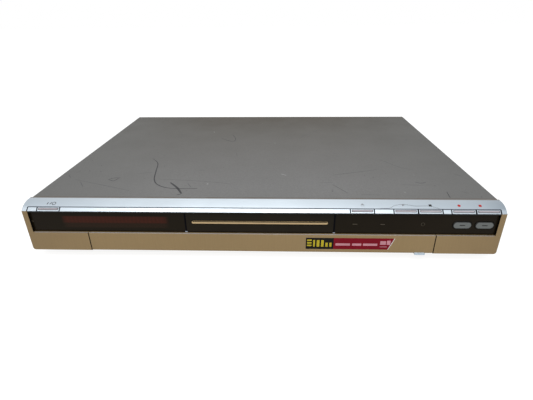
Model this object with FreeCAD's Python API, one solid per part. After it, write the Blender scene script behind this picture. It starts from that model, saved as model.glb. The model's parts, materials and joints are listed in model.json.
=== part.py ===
import FreeCAD, Part
import math
import os
from FreeCAD import Vector

# A home recorder for DVDs with a hard disk, in millimetres. The front faces -Y and +Z is up.
# The origin lies on the table, under the middle of the whole recorder.

# Allowances: how far a cutter runs past a shape, and how deep a joined root goes in
over = 1.0
sunk = 0.5

# Case
wide = 430.0
cover_depth = 305.0
cover_top = 55.0
foot_height = 9.4
sheet = 0.8
chassis_sheet = 1.0
bend = 2.0
seam_gap = 0.7
cover_hem = 0.6
rear_lip = 9.0
flange_height = 22.0
side_space = 2.2
socket_reach = 7.7
foot_radius = 12.0
foot_inset = 34.0
screw_radius = 1.5
screw_fit = 0.1
head_radius = 2.9
head_height = 1.8
driver_slot = 0.8
fit = 0.3
foot_pin = 2.5
foot_pin_rise = 2.0
foot_round = 1.0
dimple_radius = 4.6
side_screw_inset = 62.0
rear_screw_inset = 13.0
side_screw_z = 22.0
lip_screw_space = 150.0
screw_length = 6.0
post_radius = 3.2
post_grip = 2.6
post_inset = 6.0
ear_reach = 10.0
ear_inset = 22.0
ear_half = 6.0
ear_root = 1.0
chassis_gap = 1.0
rear_flange = 6.0
flange_inset = 2.0
vent_count = 16
vent_pitch = 7.0
vent_wide = 3.0
vent_low = 24.0
vent_high = 18.0
vent_inset = 132.0
floor_vents = 8
# Air slots in the floor under each board: X and Y from the board's corner, and length
power_vent = (22.0, 50.0, 30.0)
main_vent = (40.0, 20.0, 25.0)

# Silver nose
nose_depth = 17.3
nose_flat = 4.0
nose_radius = 18.0
nose_rise = 0.4
trim_wall = 2.0
strip_band = 4.4
groove = 0.5
button_wide = 20.4
button_gap = 0.35
button_travel = 0.5
stem = 1.5
stem_place = 1.05
stem_length = 5.5
button_flange = 0.8
flange_reach = 1.2
button_flange_inset = 1.0
stem_half = 2.0
bridge_turn = 0.08
over_turn = 0.1
rib_rise = 0.3
rib_wide = 1.1
rib_inset = 1.4
cap_foot = 0.05
trim_round = 0.6
tongue_root = 1.5
power_offset = 9.2
right_row_gaps = (0.35, 0.9, 8.0, 0.9, 17.4)
right_row_names = ("rec_stop_button", "rec_button", "stop_button", "play_button", "open_close_button")

# Front panel
face_drop = 1.0
lower_face = 19.2
face_wall = 2.2
face_round = 0.4
frame_rib = 2.0
frame_clear = 0.2
frame_drop = 4.0
seam_foot = 3.0
post_width = 5.0
corner = 2.5
window_recess = 2.4
window_sheet = 2.0
window_gap = 0.1
window_foot = 0.5
backing = 1.6
backing_top = 44.3
rail = 0.6
tab_reach = 1.5
tab_wide = 9.5
tab_offset = 141.2
tab_drop = 0.7
tongue_long = 8.0
flap_wide = 315.6
flap_gap = 0.5
flap_round = 0.3
flap_barrel = 1.4
flap_ear = 3.0
flap_ear_high = 5.0
tab_high = 2.0
tab_round = 0.6
pin_radius = 1.0
pin_length = 1.5
pin_fit = 0.06
niche_depth = 14.0
niche_inset = 1.8
niche_seat = 0.1
side_tongue_rise = 5.0
side_tongue_gap = 0.2

# Pill buttons, display and key boards
pill_wide = 16.3
pill_high = 7.1
pill_z = 37.3
pill_space = 3.1
pill_offset = 2.8
pill_proud = 0.8
pill_rim = 0.4
pill_round = 0.7
pill_flange = 1.0
pill_frame = 1.4
pill_foot = 2.0
display_offset = 33.0
display_inset = 19.1
display_low = 35.5
display_high = 8.2
display_thick = 3.8
display_round = 0.5
tube_tip = 3.0
tube_tip_radius = 1.0
board = 1.2
key_board_y = 10.0
key_board_low = 29.0
key_board_high = 13.0
key_board_side = 8.0
boss_radius = 2.5
boss_rise = 3.0
boss_inset = 4.0
slant_board = 7.0
slant_shift = 1.0
slant_ends = (3.0, 2.0, 1.0)
slant_rib_high = 4.0
switch_size = 4.0
switch_body = 2.5
switch_tip = 0.7
switch_tip_radius = 1.2
switch_tip_half = 0.9
switch_tip_root = 0.2
switch_gap = 0.6
lamp_places = (85.6, 110.0)
lamp_half = 2.0
lamp_half_high = 0.8
lamp_gap = 0.4
sensor_place = 145.5
sensor_radius = 2.4
sensor_thick = 2.0
sensor_half = 3.0
sensor_half_high = 3.4
sensor_room = 0.5

# Rocker and jacks behind the flap
rocker_place = 120.0
rocker_wide = 24.0
rocker_high = 7.0
rocker_thick = 4.6
rocker_tilt = 3.0
rocker_gap = 0.6
rocker_proud = 1.5
rocker_back = 1.5
rocker_round = 0.8
rocker_dish = 1.6
rocker_dish_deep = 0.4
rocker_switch_inset = 3.0
rocker_ear = 2.5
rocker_ear_back = 2.2
rocker_board_half = 22.0
rocker_board_high = 11.0
rocker_boss_radius = 2.0
rocker_boss_inset = 3.0
niche_z = 17.6
jack_offset = 16.0
jack_pitch = 14.0
jack_radius = 4.15
jack_bore = 1.6
jack_reach = 6.0
jack_collar = 0.8
jack_collar_thick = 1.2
jack_body = 11.0
jack_board_depth = 20.0
mini_din_radius = 5.3
link_wide = 7.4
link_high = 4.4
jack_count = 5
round_jacks = (1, 2, 3)
jack_post_inset = 4.0
jack_board_margin = 1.0
jack_block = 12.0
jack_block_half = 5.0
jack_ring = 0.8
jack_ring_deep = 1.5
mini_din_proud = 2.0
mini_din_block_half = 6.0
mini_din_ring = 1.0
mini_din_deep = 3.0
mini_din_pins = ((-1.7, -1.2), (1.7, -1.2), (-1.2, 1.5), (1.2, 1.5))
mini_din_pin_radius = 0.6
mini_din_pin_deep = 2.0
link_proud = 0.5
link_wall = 0.8
link_deep = 5.0

# Tray and loader
tray_front_wide = 133.6
tray_gap = 1.0
tray_front_low = 28.0
tray_front_high = 19.6
tray_front_thick = 3.0
tray_wide = 128.0
rack_spare = 9.55
tray_tail = 3.0
tray_low = 33.5
tray_plate = 3.0
tray_rim = 2.5
tray_rail = 2.0
tray_travel = 138.0
disc_radius = 60.5
disc_step = 0.8
small_disc_radius = 40.5
spindle_back = 66.8
slot_half = 18.5
slot_long = 63.0
tray_rim_back = 3.0
tray_round = 2.0
grip_radius = 11.0
lug_span = (12.0, 26.0)
lug_deep = 3.0
lug_drop = 3.0
front_round = 0.4
bar_gap = 0.6
bar_round = 0.5
bar_wide = 123.0
bar_high = 2.7
bar_z = 37.9
bar_proud = 0.3
bar_depth = 1.2
drive_wide = 146.0
drive_deep = 175.0
drive_high = 35.0
drive_lift = 5.0
drive_setback = 21.25
frame_wall = 4.0
frame_floor = 2.2
frame_top = 41.2
frame_end = 2.0
frame_front_gap = 1.0
frame_front_drop = 1.0
guide_thick = 2.0
guide_reach = 0.6
guide_over = 1.5
tray_step = 0.5
well_rim = 2.0
well_rim_rise = 3.0
seat_wide = 1.4
axle_spare = 0.3
shelf_thick = 1.2
shelf_foot = 4.0
shelf_span = (8.0, 10.0)
shelf_hole = 3.0
drive_ear_root = 1.0
drive_plug = (20.0, 80.0)
drive_plug_z = (4.0, 14.0)
drive_plug_deep = 3.0
drive_lip = 8.0
dome_radius = 30.0
dome_rise = 0.8
bridge_sheet = 1.2
bridge_half = 20.0
clamper_neck = 12.0
clamper_rim = 15.2
clamper_disc = 1.0
clamper_rim_thick = 1.6
clamper_gap = 0.5
clamper_dimple = 4.0
clamper_dimple_deep = 1.4
module = 1.0
gear_teeth = 24
pinion_teeth = 12
tooth_root = 1.1
tooth_tip = 0.8
tooth_foot_share = 0.30
tooth_tip_share = 0.11
rack_inset = 7.0
rack_wide = 3.0
rack_drop = 3.0
rack_first = 4.0
gear_y_offset = 16.6
gear_thick = 6.0
big_pulley = 11.5
small_pulley = 3.0
pulley_thick = 3.4
pulley_rim = 1.0
pulley_cheek = 0.8
pulley_lift = 0.4
neck_inset = 1.2
belt = 1.0
belt_span = 47.0
motor_radius = 10.5
motor_high = 9.4
motor_round = 0.8
motor_shaft = 0.9
motor_shaft_gap = 0.6
axle_radius = 1.5
axle_fit = 0.06

# Traverse, lowered for the tray to pass
lift = 7.0
traverse_half = 45.4
traverse_front = 18.0
traverse_spare = 2.6
traverse_low = 17.4
traverse_high = 8.6
traverse_wall = 2.4
traverse_fit = 0.6
rod_radius = 1.5
rod_place = 30.0
rod_z = 22.5
screw_place = 37.0
thread_pitch = 3.0
thread_depth = 0.4
pickup_travel = 34.0
pickup_near = 14.0
pickup_deep = 20.0
pickup_half = 24.0
lens_radius = 4.0
platform_radius = 16.0
play_room = 5.0
platform_thick = 2.0
hub_radius = 7.4
hub_high = 1.5
spindle_radius = 13.0
feed_long = 12.0
feed_radius = 3.7
deck_thick = 1.6
deck_lap = 4.0
motor_floor = 2.6
rod_block_half = 3.0
rod_block = (2.0, 1.0)
rod_inset = 1.0
screw_inset = (2.5, 1.5)
ring_first = 3.0
ring_last = 2.0
ring_wide = 1.2
pickup_low = 3.2
pickup_high = 3.0
arm_inset = 4.0
lens_edge = 3.0
lens_rim = 2.0
lens_rise = 2.6
lens_recess = 1.6
lens_glass = (1.0, 1.9)
lens_fit = 0.6
tongue_inset = 6.0
tongue_half = 1.0
skirt_radius = 7.0
hub_round = 0.6
shaft_low = 3.0
pad_wide = 3.0
pad_deep = 0.4

# Chips and sockets on the main board: each one's corner on the board, and its length, depth and height
packages = (((60.0, 30.0), (30.0, 30.0, 2.4)), ((104.0, 22.0), (22.0, 22.0, 1.8)),
            ((104.0, 52.0), (22.0, 12.0, 1.4)), ((60.0, 10.0), (20.0, 10.0, 1.4)),
            ((140.0, 20.0), (26.0, 26.0, 2.2)), ((176.0, 14.0), (14.0, 14.0, 1.6)),
            ((20.0, 50.0), (40.0, 8.0, 9.0)), ((150.0, 2.0), (56.0, 6.0, 8.0)),
            ((4.0, 20.0), (24.0, 8.0, 7.0)))
drive_socket = 6
hdd_socket = 7
spreader_inset = 3.0
spreader_thick = 2.0
spreader_high = 11.6
spreader_fin = 1.4
spreader_pitch = 4.0
spreader_fins = 6
board_capacitor = (3.2, 11.0)
board_capacitors = 6
board_capacitor_x = 40.0
board_capacitor_y = 80.0
board_capacitor_pitch = 5.0
board_capacitor_gap = 7.0
board_capacitor_row = 12.0

# Hard disk
hdd_wide = 101.6
hdd_long = 147.0
bracket_hole_wide = 28.0
bracket_hole_long = 34.0
bracket_hole_space = 20.0
bracket_hole_step = 26.0
hdd_base_high = 22.4
hdd_lid_thick = 3.7
hdd_round = 3.0
hdd_lid_round = 4.0
hdd_lid_step = 1.2
hdd_lid_inset = 0.5
hdd_field = 44.0
hdd_field_place = 56.0
hdd_ramp = (18.0, 70.0, 12.0)
hdd_plug = (8.0, 66.0)
hdd_plug_z = (2.0, 10.0)
hdd_plug_deep = 8.0
bracket_side = 12.0
hdd_lift = 4.0
hdd_setback = 36.0
hdd_side = 18.0

# Power supply and main board
power_wide = 114.0
power_deep = 195.0
power_lift = 5.0
power_side = 9.0
board_thick = 1.6
fan_gap = 2.0
main_deep = 105.0
main_lift = 7.0
main_side = 10.0
board_back_gap = 6.5
capacitor_radius = 11.0
capacitor_high = 28.0
# X of the mains capacitor from the board's corner, and its share of the board's depth
capacitor_place = (24.0, 0.62)
capacitor_round = 0.8
sleeve_ring = (2.0, 2.8)
sleeve_ring_deep = 0.5
# Radius and height of the small capacitors
small_capacitor = (5.0, 20.0)
small_capacitors = 4
small_capacitor_pitch = 14.0
small_capacitor_inset = 12.0
small_capacitor_first = 40.0
heatsink_high = 28.0
heatsink_long = 44.0
heatsink_spine = 2.5
heatsink_reach = 10.0
heatsink_fin = 1.6
heatsink_pitch = 7.0
heatsink_fins = 7
heatsink_share = 0.72
heatsink_corner = (14.0, 30.0)
transformer_wide = 34.0
transformer_deep = 36.0
transformer_high = 27.0
transformer_place = 0.45
transformer_leg = 6.0
bobbin_high = 3.0
bobbin_inset = 3.0
bobbin_ends = 4.0
coil_ends = 2.0
core_yoke = 5.0
coil_thick = 15.0
choke_radius = 10.0
choke_high = 16.0
choke_eye = 4.0
choke_eye_deep = 6.0
choke_space = 22.0
inlet_wide = 20.0
inlet_high = 12.6
inlet_deep = 16.0
inlet_proud = 0.6
inlet_mouth = 11.0
inlet_pin_root = 12.0
inlet_pin_inset = 2.0
inlet_cavity_wide = 15.4
inlet_cavity_high = 8.4
inlet_pin = 1.2
inlet_pin_space = 8.6
inlet_z = 24.0
fan_size = 40.0
fan_thick = 10.0
fan_z = 32.6
fan_bore = 19.0
blade_radius = 18.2
blade_count = 7
fan_hub = 9.5
fan_round = 2.5
fan_hole_inset = 4.0
fan_hole = 1.6
fan_arms = 3
fan_arm = 1.6
fan_arm_half = 1.2
fan_seat = 2.6
fan_back_gap = 1.0
fan_shaft_inset = 0.4
blade_half = 0.5
blade_half_deep = 4.0
blade_pitch = 52
fan_bars = 2.2
fan_slot = 3.2
fan_rows = 3
fan_rim = 1.0
scart_wide = 47.0
scart_high = 16.0
scart_proud = 6.0
scart_skirt = 1.2
scart_root = 14.0
scart_corner = 4.0
scart_slit = 1.4
scart_deep = 9.0
contacts = 10
contact_first = 6.2
contact_pitch = 3.81
contact_half = 0.6
contact_shift = 1.9
contact_rows = (1.2, 4.4)
scart_pitch = 58.0
scart_first = 68.0
socket_stand = 1.0
tuner_wide = 18.0
tuner_high = 31.0
tuner_deep = 52.0
tuner_pitch = 22.0
tuner_first = 10.0
tuner_notches = 4
notch_first = 8.0
notch_pitch = 12.0
notch_long = 4.0
notch_deep = 0.4
notch_ends = 4.0
coax_radius = 4.75
coax_bore = 3.9
coax_pin = 1.3
coax_deep = 7.0
coax_root = 2.0
coax_collar = 1.2
coax_collar_thick = 1.6
coax_rows = (26.0, 39.5)
rear_jack_first = 10.0
rear_jack_pitch = 14.0
rear_jack_columns = 4
rear_jack_rows = (27.0, 41.0)
rear_jack_block = 13.0
rear_jack_deep = 14.0
rear_jack_root = 2.0
rear_jack_reach = 7.0
ribbon = 0.8
drive_ribbon_x = (8.0, 48.0)
drive_ribbon_low = 8.0
drive_ribbon_rise = 19.0
drive_ribbon_out = 5.0
hdd_ribbon_x = (12.0, 60.0)
hdd_ribbon_z = 6.0
hdd_ribbon_back = 7.0
hdd_ribbon_rise = 14.0
hdd_ribbon_gap = 8.0

# Places that follow from the sizes
side = wide / 2
face_y = tab_reach - (tab_reach + nose_depth + cover_depth + socket_reach) / 2
seam_y = face_y + nose_depth
back_y = seam_y + cover_depth
rear_out = back_y - sheet
rear_in = rear_out - sheet
floor_z = foot_height + chassis_sheet
flange_x = side - sheet - side_space
inner_top = cover_top - sheet
nose_y = seam_y - nose_flat
nose_z = cover_top + nose_rise - nose_radius
lip_angle = math.asin((nose_depth - nose_flat) / nose_radius)
lip_z = nose_z + nose_radius * math.cos(lip_angle)
strip_angle = lip_angle - strip_band / nose_radius
press_angle = (strip_angle + lip_angle) / 2
strip_end = side - post_width
face_low = foot_height - face_drop
ledge_z = face_low + lower_face
rail_top = lip_z - button_travel * math.cos(press_angle) - fit
window_y = face_y + window_recess
backing_y = window_y + window_sheet
inside_y = backing_y + backing
window_low = ledge_z - window_foot
window_top = rail_top - rail - window_gap
flap_pivot_y = face_y + flap_barrel
flap_pivot_z = face_low + flap_barrel
flap_half = flap_wide / 2
niche_y = face_y + niche_depth
niche_low = face_low + face_wall
niche_top = window_low - backing
window_inner = tray_front_wide / 2 + tray_gap
drive_y = face_y + drive_setback
drive_low = floor_z + drive_lift
drive_top = drive_low + drive_high
drive_half = drive_wide / 2
tray_y = window_y + tray_front_thick
tray_half = tray_wide / 2
spindle_y = tray_y + spindle_back
frame_half = tray_half + tray_rail + frame_wall
frame_low = drive_low + sheet
gear_y = drive_y + gear_y_offset
tray_back = gear_y + tray_travel + rack_spare + tray_tail
platform_z = frame_top - play_room - lift
gear_radius = module * gear_teeth / 2
pinion_radius = module * pinion_teeth / 2
rack_x = rack_inset - tray_half
gear_x = rack_x + gear_radius
pinion_x = gear_x + gear_radius + pinion_radius
motor_x = pinion_x + belt_span
pulley_low = frame_low + frame_floor + pulley_lift
gear_low = tray_low - fit - gear_thick
rack_low = tray_low - rack_drop
traverse_y = spindle_y - traverse_front
traverse_back = spindle_y + pickup_near + pickup_deep + pickup_travel + traverse_wall + traverse_spare
hdd_x = side - hdd_side - hdd_wide
hdd_y = face_y + hdd_setback
hdd_low = floor_z + hdd_lift + chassis_sheet
power_x = -side + power_side
board_back = rear_in - board_back_gap
power_y = board_back - power_deep
power_z = floor_z + power_lift
main_right = side - main_side
main_y = board_back - main_deep
main_z = floor_z + main_lift
main_top = main_z + board_thick
inlet_x = power_x + inlet_wide
fan_x = power_x + power_wide + fan_gap + fan_size / 2
main_left = fan_x + fan_size / 2 + fan_gap
vent_first = back_y - vent_inset


def block(x, y, z):
    """A box between its lower and upper limits."""
    return Part.makeBox(x[1] - x[0], y[1] - y[0], z[1] - z[0], Vector(x[0], y[0], z[0]))


def column(x, y, z, radius):
    """A cylinder that stands between two heights."""
    return Part.makeCylinder(radius, z[1] - z[0], Vector(x, y, z[0]))


def round_x(x, y, z, radius):
    """A cylinder that lies along X."""
    return Part.makeCylinder(radius, x[1] - x[0], Vector(x[0], y, z), Vector(1, 0, 0))


def round_y(x, y, z, radius):
    """A cylinder that lies along Y."""
    return Part.makeCylinder(radius, y[1] - y[0], Vector(x, y[0], z), Vector(0, 1, 0))


def solids(shape):
    """The one solid of a result, or all of its solids together."""
    return shape.Solids[0] if len(shape.Solids) == 1 else Part.makeCompound(shape.Solids)


def join(first, *others):
    return solids(first.multiFuse(list(others)).removeSplitter())


def cut(shape, *tools):
    return solids(shape.cut(list(tools)))


def group(*shapes):
    """Separate solids of one node."""
    return Part.makeCompound([solid for shape in shapes for solid in shape.Solids])


def across(shape):
    """The same shape on the other side of the middle plane."""
    return shape.mirror(Vector(0, 0, 0), Vector(1, 0, 0))


def both(shape):
    return [shape, across(shape)]


def profile(points, x):
    """A flat outline of (y, z) points, drawn out along X."""
    corners = [Vector(x[0], y, z) for y, z in points]
    face = Part.Face(Part.makePolygon(corners + corners[:1]))
    return face.extrude(Vector(x[1] - x[0], 0, 0))


def plan(points, z):
    """A flat outline of (x, y) points, drawn up along Z."""
    corners = [Vector(x, y, z[0]) for x, y in points]
    face = Part.Face(Part.makePolygon(corners + corners[:1]))
    return face.extrude(Vector(0, 0, z[1] - z[0]))


def soften(shape, radius, wanted):
    """Round the edges that the test picks."""
    return solids(shape.makeFillet(radius, [edge for edge in shape.Edges if wanted(edge)]))


def along(edge, axis):
    """Whether a straight edge runs along an axis."""
    start, end = edge.Vertexes[0].Point, edge.Vertexes[-1].Point
    return edge.Length > 1e-6 and abs(abs((end - start).dot(axis)) - edge.Length) < 1e-6


def near(value, target):
    return abs(value - target) < 1e-6


def pill(x, z, y, inset=0.0):
    """An upright slab with round ends, such as the select buttons have."""
    radius = (z[1] - z[0]) / 2 - inset
    middle = (z[0] + z[1]) / 2
    left = x[0] + inset + radius
    right = x[1] - inset - radius
    slab = block((left, right), y, (middle - radius, middle + radius))
    return join(slab, round_y(left, y, middle, radius), round_y(right, y, middle, radius))


def save(name, shape):
    shape.exportStep(f"parts/{name}.step")


# The nose's curve, where the trim and the buttons of its strip lie

def nose_point(radius, angle, x=0.0):
    return Vector(x, nose_y - radius * math.sin(angle), nose_z + radius * math.cos(angle))


def nose_sector(inner, outer, start, end, x):
    """Part of the curved shell between two radii and two angles."""
    middle = (start + end) / 2
    edges = [
        Part.makeLine(nose_point(inner, start, x[0]), nose_point(outer, start, x[0])),
        Part.Arc(nose_point(outer, start, x[0]), nose_point(outer, middle, x[0]),
                 nose_point(outer, end, x[0])).toShape(),
        Part.makeLine(nose_point(outer, end, x[0]), nose_point(inner, end, x[0])),
        Part.Arc(nose_point(inner, end, x[0]), nose_point(inner, middle, x[0]),
                 nose_point(inner, start, x[0])).toShape(),
    ]
    return Part.Face(Part.Wire(edges)).extrude(Vector(x[1] - x[0], 0, 0))


def nose_body(inset, low, back, x):
    """Everything under the nose's curve, down to a level."""
    radius = nose_radius - inset
    end = math.acos((low - nose_z) / radius)
    top = Vector(x[0], back, nose_z + radius)
    foot = nose_point(radius, end, x[0])
    heel = Vector(x[0], back, low)
    edges = [
        Part.makeLine(heel, top),
        Part.makeLine(top, nose_point(radius, 0, x[0])),
        Part.Arc(nose_point(radius, 0, x[0]), nose_point(radius, end / 2, x[0]), foot).toShape(),
        Part.makeLine(foot, heel),
    ]
    return Part.Face(Part.Wire(edges)).extrude(Vector(x[1] - x[0], 0, 0))


def into_nose(x, up, depth):
    """A box square to the strip, by its X, its way up the strip and its depth under the surface."""
    box = block(x, up, (-depth[1], -depth[0]))
    box.rotate(Vector(0, 0, 0), Vector(1, 0, 0), math.degrees(press_angle))
    box.translate(nose_point(nose_radius, strip_angle + stem_place / nose_radius))
    return box


def button_places():
    """Name and X limits of each button in the nose's strip."""
    places = {"power_button": (-strip_end + power_offset, -strip_end + power_offset + button_wide)}
    right = strip_end
    for name, space in zip(right_row_names, right_row_gaps):
        right -= space
        places[name] = (right - button_wide, right)
        right -= button_wide
    return places


def middle(limits):
    return (limits[0] + limits[1]) / 2


# Case

def top_cover():
    """The folded steel cover, with vents and screw dimples in its sides and a lip at the back."""
    front = seam_y + seam_gap
    low = foot_height + cover_hem
    outer = block((-side, side), (front, back_y), (low, cover_top))
    outer = soften(outer, bend, lambda e: near(e.BoundBox.ZMin, cover_top) and along(e, Vector(0, 1, 0)))
    inner = block((sheet - side, side - sheet), (front - over, back_y - sheet), (low - over, inner_top))
    inner = soften(inner, bend - sheet, lambda e: near(e.BoundBox.ZMin, inner_top)
                   and along(e, Vector(0, 1, 0)))
    below_lip = block((sheet - side, side - sheet), (back_y - 2 * sheet, back_y + over),
                      (low - over, cover_top - rear_lip))
    shell = cut(outer, inner, below_lip)
    pockets = []
    cups = []
    for y, z in side_screws():
        pockets += both(round_x((side - side_space, side + over), y, z, dimple_radius))
        pockets += both(round_x((side - side_space - 2 * sheet, side), y, z, screw_radius + screw_fit))
        cup = round_x((flange_x, side - sheet / 2), y, z, dimple_radius + sheet)
        cups += both(cup)
    shell = join(shell, *cups)
    slots = []
    for k in range(vent_count):
        y = vent_first + k * vent_pitch
        slots += both(block((side - 2 * sheet, side + over), (y, y + vent_wide),
                            (vent_low, vent_low + vent_high)))
    lip_holes = [round_y(x, (back_y - 2 * sheet, back_y + over), lip_screw_z(), screw_radius + screw_fit)
                 for x in lip_screws()]
    return cut(shell, *pockets, *slots, *lip_holes)


def side_screws():
    """Y and Z of the cover's side screws, alike on both sides."""
    return [(seam_y + side_screw_inset, side_screw_z), (back_y - rear_screw_inset, side_screw_z)]


def lip_screws():
    return [-lip_screw_space, 0.0, lip_screw_space]


def lip_screw_z():
    return cover_top - rear_lip / 2 - sheet / 2


def cover_screws():
    """Side screws sunk in their dimples, and three through the lip at the back."""
    found = []
    for y, z in side_screws():
        head = round_x((flange_x + sheet, flange_x + sheet + head_height), y, z, head_radius)
        shank = round_x((flange_x - screw_length, flange_x + sheet), y, z, screw_radius)
        slot = block((flange_x + sheet + head_height - driver_slot, side), (y - head_radius, y + head_radius),
                     (z - driver_slot / 2, z + driver_slot / 2))
        found += both(cut(join(head, shank), slot))
    for x in lip_screws():
        z = lip_screw_z()
        head = round_y(x, (back_y, back_y + head_height), z, head_radius)
        shank = round_y(x, (back_y - screw_length, back_y), z, screw_radius)
        slot = block((x - head_radius, x + head_radius),
                     (back_y + head_height - driver_slot, back_y + head_height + over),
                     (z - driver_slot / 2, z + driver_slot / 2))
        found.append(cut(join(head, shank), slot))
    return group(*found)


def board_posts():
    """X, Y, top and purpose of every post that carries a board or a bracket on the chassis."""
    found = []
    for x in (power_x + post_inset, power_x + power_wide - post_inset):
        for y in (power_y + post_inset, board_back - 3 * post_inset):
            found.append((x, y, power_z, board_thick))
    for x in (main_left + post_inset, main_right - post_inset):
        for y in (main_y + post_inset, main_y + main_deep / 2):
            found.append((x, y, main_z, board_thick))
    for x in (-drive_half - ear_reach / 2, drive_half + ear_reach / 2):
        for y in drive_ears():
            found.append((x, y, drive_low, sheet))
    for x in (hdd_x - ear_reach / 2, hdd_x + hdd_wide + ear_reach / 2):
        for y in hdd_ears():
            found.append((x, y, hdd_low - chassis_sheet, chassis_sheet))
    for x in jack_posts():
        found.append((x, jack_board_y()[1] - jack_post_inset, jack_board_z()[0], board))
    return found


def drive_ears():
    return [drive_y + ear_inset, drive_y + drive_deep - ear_inset]


def hdd_ears():
    return [hdd_y + ear_inset, hdd_y + hdd_long - ear_inset]


def jack_board_y():
    return (niche_y + backing + fit, niche_y + backing + jack_board_depth)


def jack_board_z():
    low = niche_z - jack_body / 2 - board
    return (low, low + board)


def jack_board_x():
    return (jack_x(0) - jack_body, jack_x(jack_count - 1) + jack_body / 2 + jack_board_margin)


def jack_posts():
    return [jack_board_x()[0] + jack_post_inset, jack_board_x()[1] - jack_post_inset]


def jack_x(number):
    return -flap_half + jack_offset + number * jack_pitch


def bottom_chassis():
    """The steel floor with its side flanges, posts and air slots."""
    plate = block((-flange_x, flange_x), (seam_y + chassis_gap, rear_in), (foot_height, floor_z))
    flange = block((flange_x - chassis_sheet, flange_x), (seam_y + chassis_gap, rear_in),
                   (foot_height, floor_z + flange_height))
    posts = [column(x, y, (floor_z - sunk, top), post_radius) for x, y, top, _ in board_posts()]
    shell = join(plate, *both(flange), *posts)
    holes = [column(x, y, (foot_height - over, top + over), screw_radius + screw_fit)
             for x, y, top, _ in board_posts()]
    holes += [column(x, y, (foot_height - over, floor_z + over), foot_pin + screw_fit)
              for x, y in foot_places()]
    for y, z in side_screws():
        holes += both(round_x((flange_x - chassis_sheet - over, flange_x + over), y, z,
                              screw_radius + screw_fit))
    for left, front, (x, y, long) in ((power_x, power_y, power_vent), (main_left, main_y, main_vent)):
        for k in range(floor_vents):
            slot_x = left + x + 2 * k * vent_wide
            holes.append(block((slot_x, slot_x + vent_wide), (front + y, front + y + long),
                               (foot_height - over, floor_z + over)))
    return cut(shell, *holes)


def foot_places():
    x = side - foot_inset
    return [(-x, seam_y + foot_inset), (x, seam_y + foot_inset), (-x, back_y - foot_inset),
            (x, back_y - foot_inset)]


def feet():
    """Four round feet, each pinned through the chassis."""
    found = []
    for x, y in foot_places():
        body = column(x, y, (0, foot_height), foot_radius)
        body = soften(body, foot_round, lambda e: near(e.BoundBox.ZMax, 0) and near(e.BoundBox.ZMin, 0))
        pin = column(x, y, (foot_height - over, floor_z + foot_pin_rise), foot_pin)
        found.append(join(body, pin))
    return group(*found)


def inner_screws():
    """The screws that hold boards, drive and bracket down on their posts."""
    found = []
    for x, y, top, plate in board_posts():
        head = column(x, y, (top + plate, top + plate + head_height), head_radius)
        shank = column(x, y, (top + plate - post_grip, top + plate), screw_radius)
        head_top = top + plate + head_height
        slot = block((x - head_radius, x + head_radius), (y - driver_slot / 2, y + driver_slot / 2),
                     (head_top - driver_slot, head_top + over))
        found.append(cut(join(head, shank), slot))
    return group(*found)


def rear_panel():
    """The rear panel, with a flange on the chassis and openings for the fan and each socket."""
    y = (rear_in, rear_out)
    half = side - sheet - fit
    plate = block((-half, half), y, (foot_height, inner_top - fit))
    flange = block((flange_inset - flange_x, flange_x - flange_inset),
                   (rear_in - rear_flange, rear_in + sheet / 2),
                   (floor_z, floor_z + sheet))
    shell = join(plate, flange)
    holes = []
    beyond = (rear_in - over, rear_out + over)
    disc = round_y(fan_x, beyond, fan_z, fan_bore - fan_rim)
    for k in range(-fan_rows, fan_rows + 1):
        z = fan_z + k * (fan_bars + fan_slot)
        bar = block((fan_x - fan_bore, fan_x + fan_bore), beyond, (z - fan_slot / 2, z + fan_slot / 2))
        holes.append(disc.common(bar))
    half_inlet = inlet_wide / 2 + fit
    holes.append(block((inlet_x - half_inlet, inlet_x + half_inlet), beyond,
                       (inlet_z - inlet_high / 2 - fit, inlet_z + inlet_high / 2 + fit)))
    for x in scart_places():
        half_scart = scart_wide / 2 + fit
        holes.append(block((x - half_scart, x + half_scart), beyond,
                           (scart_z() - scart_high / 2 - fit, scart_z() + scart_high / 2 + fit)))
    for x in tuner_places():
        holes += [round_y(x, beyond, z, coax_radius + fit) for z in coax_rows]
    for column_x in rear_jack_places():
        holes += [round_y(column_x, beyond, z, jack_radius + fit) for z in rear_jack_rows]
    holes += [round_y(x, beyond, lip_screw_z(), screw_radius + screw_fit) for x in lip_screws()]
    return cut(shell, *holes)


def scart_places():
    return [main_right - scart_first - k * scart_pitch for k in range(2)]


def scart_z():
    return main_top + scart_high / 2 + socket_stand


def tuner_places():
    return [main_right - tuner_first - k * tuner_pitch for k in range(2)]


def rear_jack_places():
    return [main_left + rear_jack_first + k * rear_jack_pitch for k in range(rear_jack_columns)]


# Front

def top_trim():
    """The silver nose cap, with a groove along its strip and openings for the buttons."""
    shell = cut(nose_body(0, lip_z, seam_y, (-side, side)),
                nose_body(trim_wall, lip_z - over, seam_y + over, (trim_wall - side, side - trim_wall)))
    shell = soften(shell, trim_round, lambda e: near(abs(middle((e.BoundBox.XMin, e.BoundBox.XMax))), side)
                   and (e.BoundBox.ZMin > lip_z + 0.1 or e.BoundBox.ZLength > 1)
                   and e.BoundBox.YMax < seam_y - 0.1 or near_flat_end(e))
    tongue = block((-flange_x, flange_x), (seam_y - tongue_root, seam_y + tongue_long),
                   (inner_top - fit - backing, inner_top - fit))
    shell = join(shell, tongue)
    tools = [nose_sector(nose_radius - groove, nose_radius + over, strip_angle,
                         strip_angle + groove / nose_radius,
                         (-strip_end, strip_end))]
    end_groove = nose_sector(nose_radius - groove, nose_radius + over, strip_angle, lip_angle + over_turn,
                             (strip_end, strip_end + groove))
    tools += both(end_groove)
    for left, right in button_places().values():
        tools.append(nose_sector(nose_radius - trim_wall - over, nose_radius + over, strip_angle,
                                 lip_angle + 2 * over_turn, (left - button_gap, right + button_gap)))
    return cut(shell, *tools)


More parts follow.
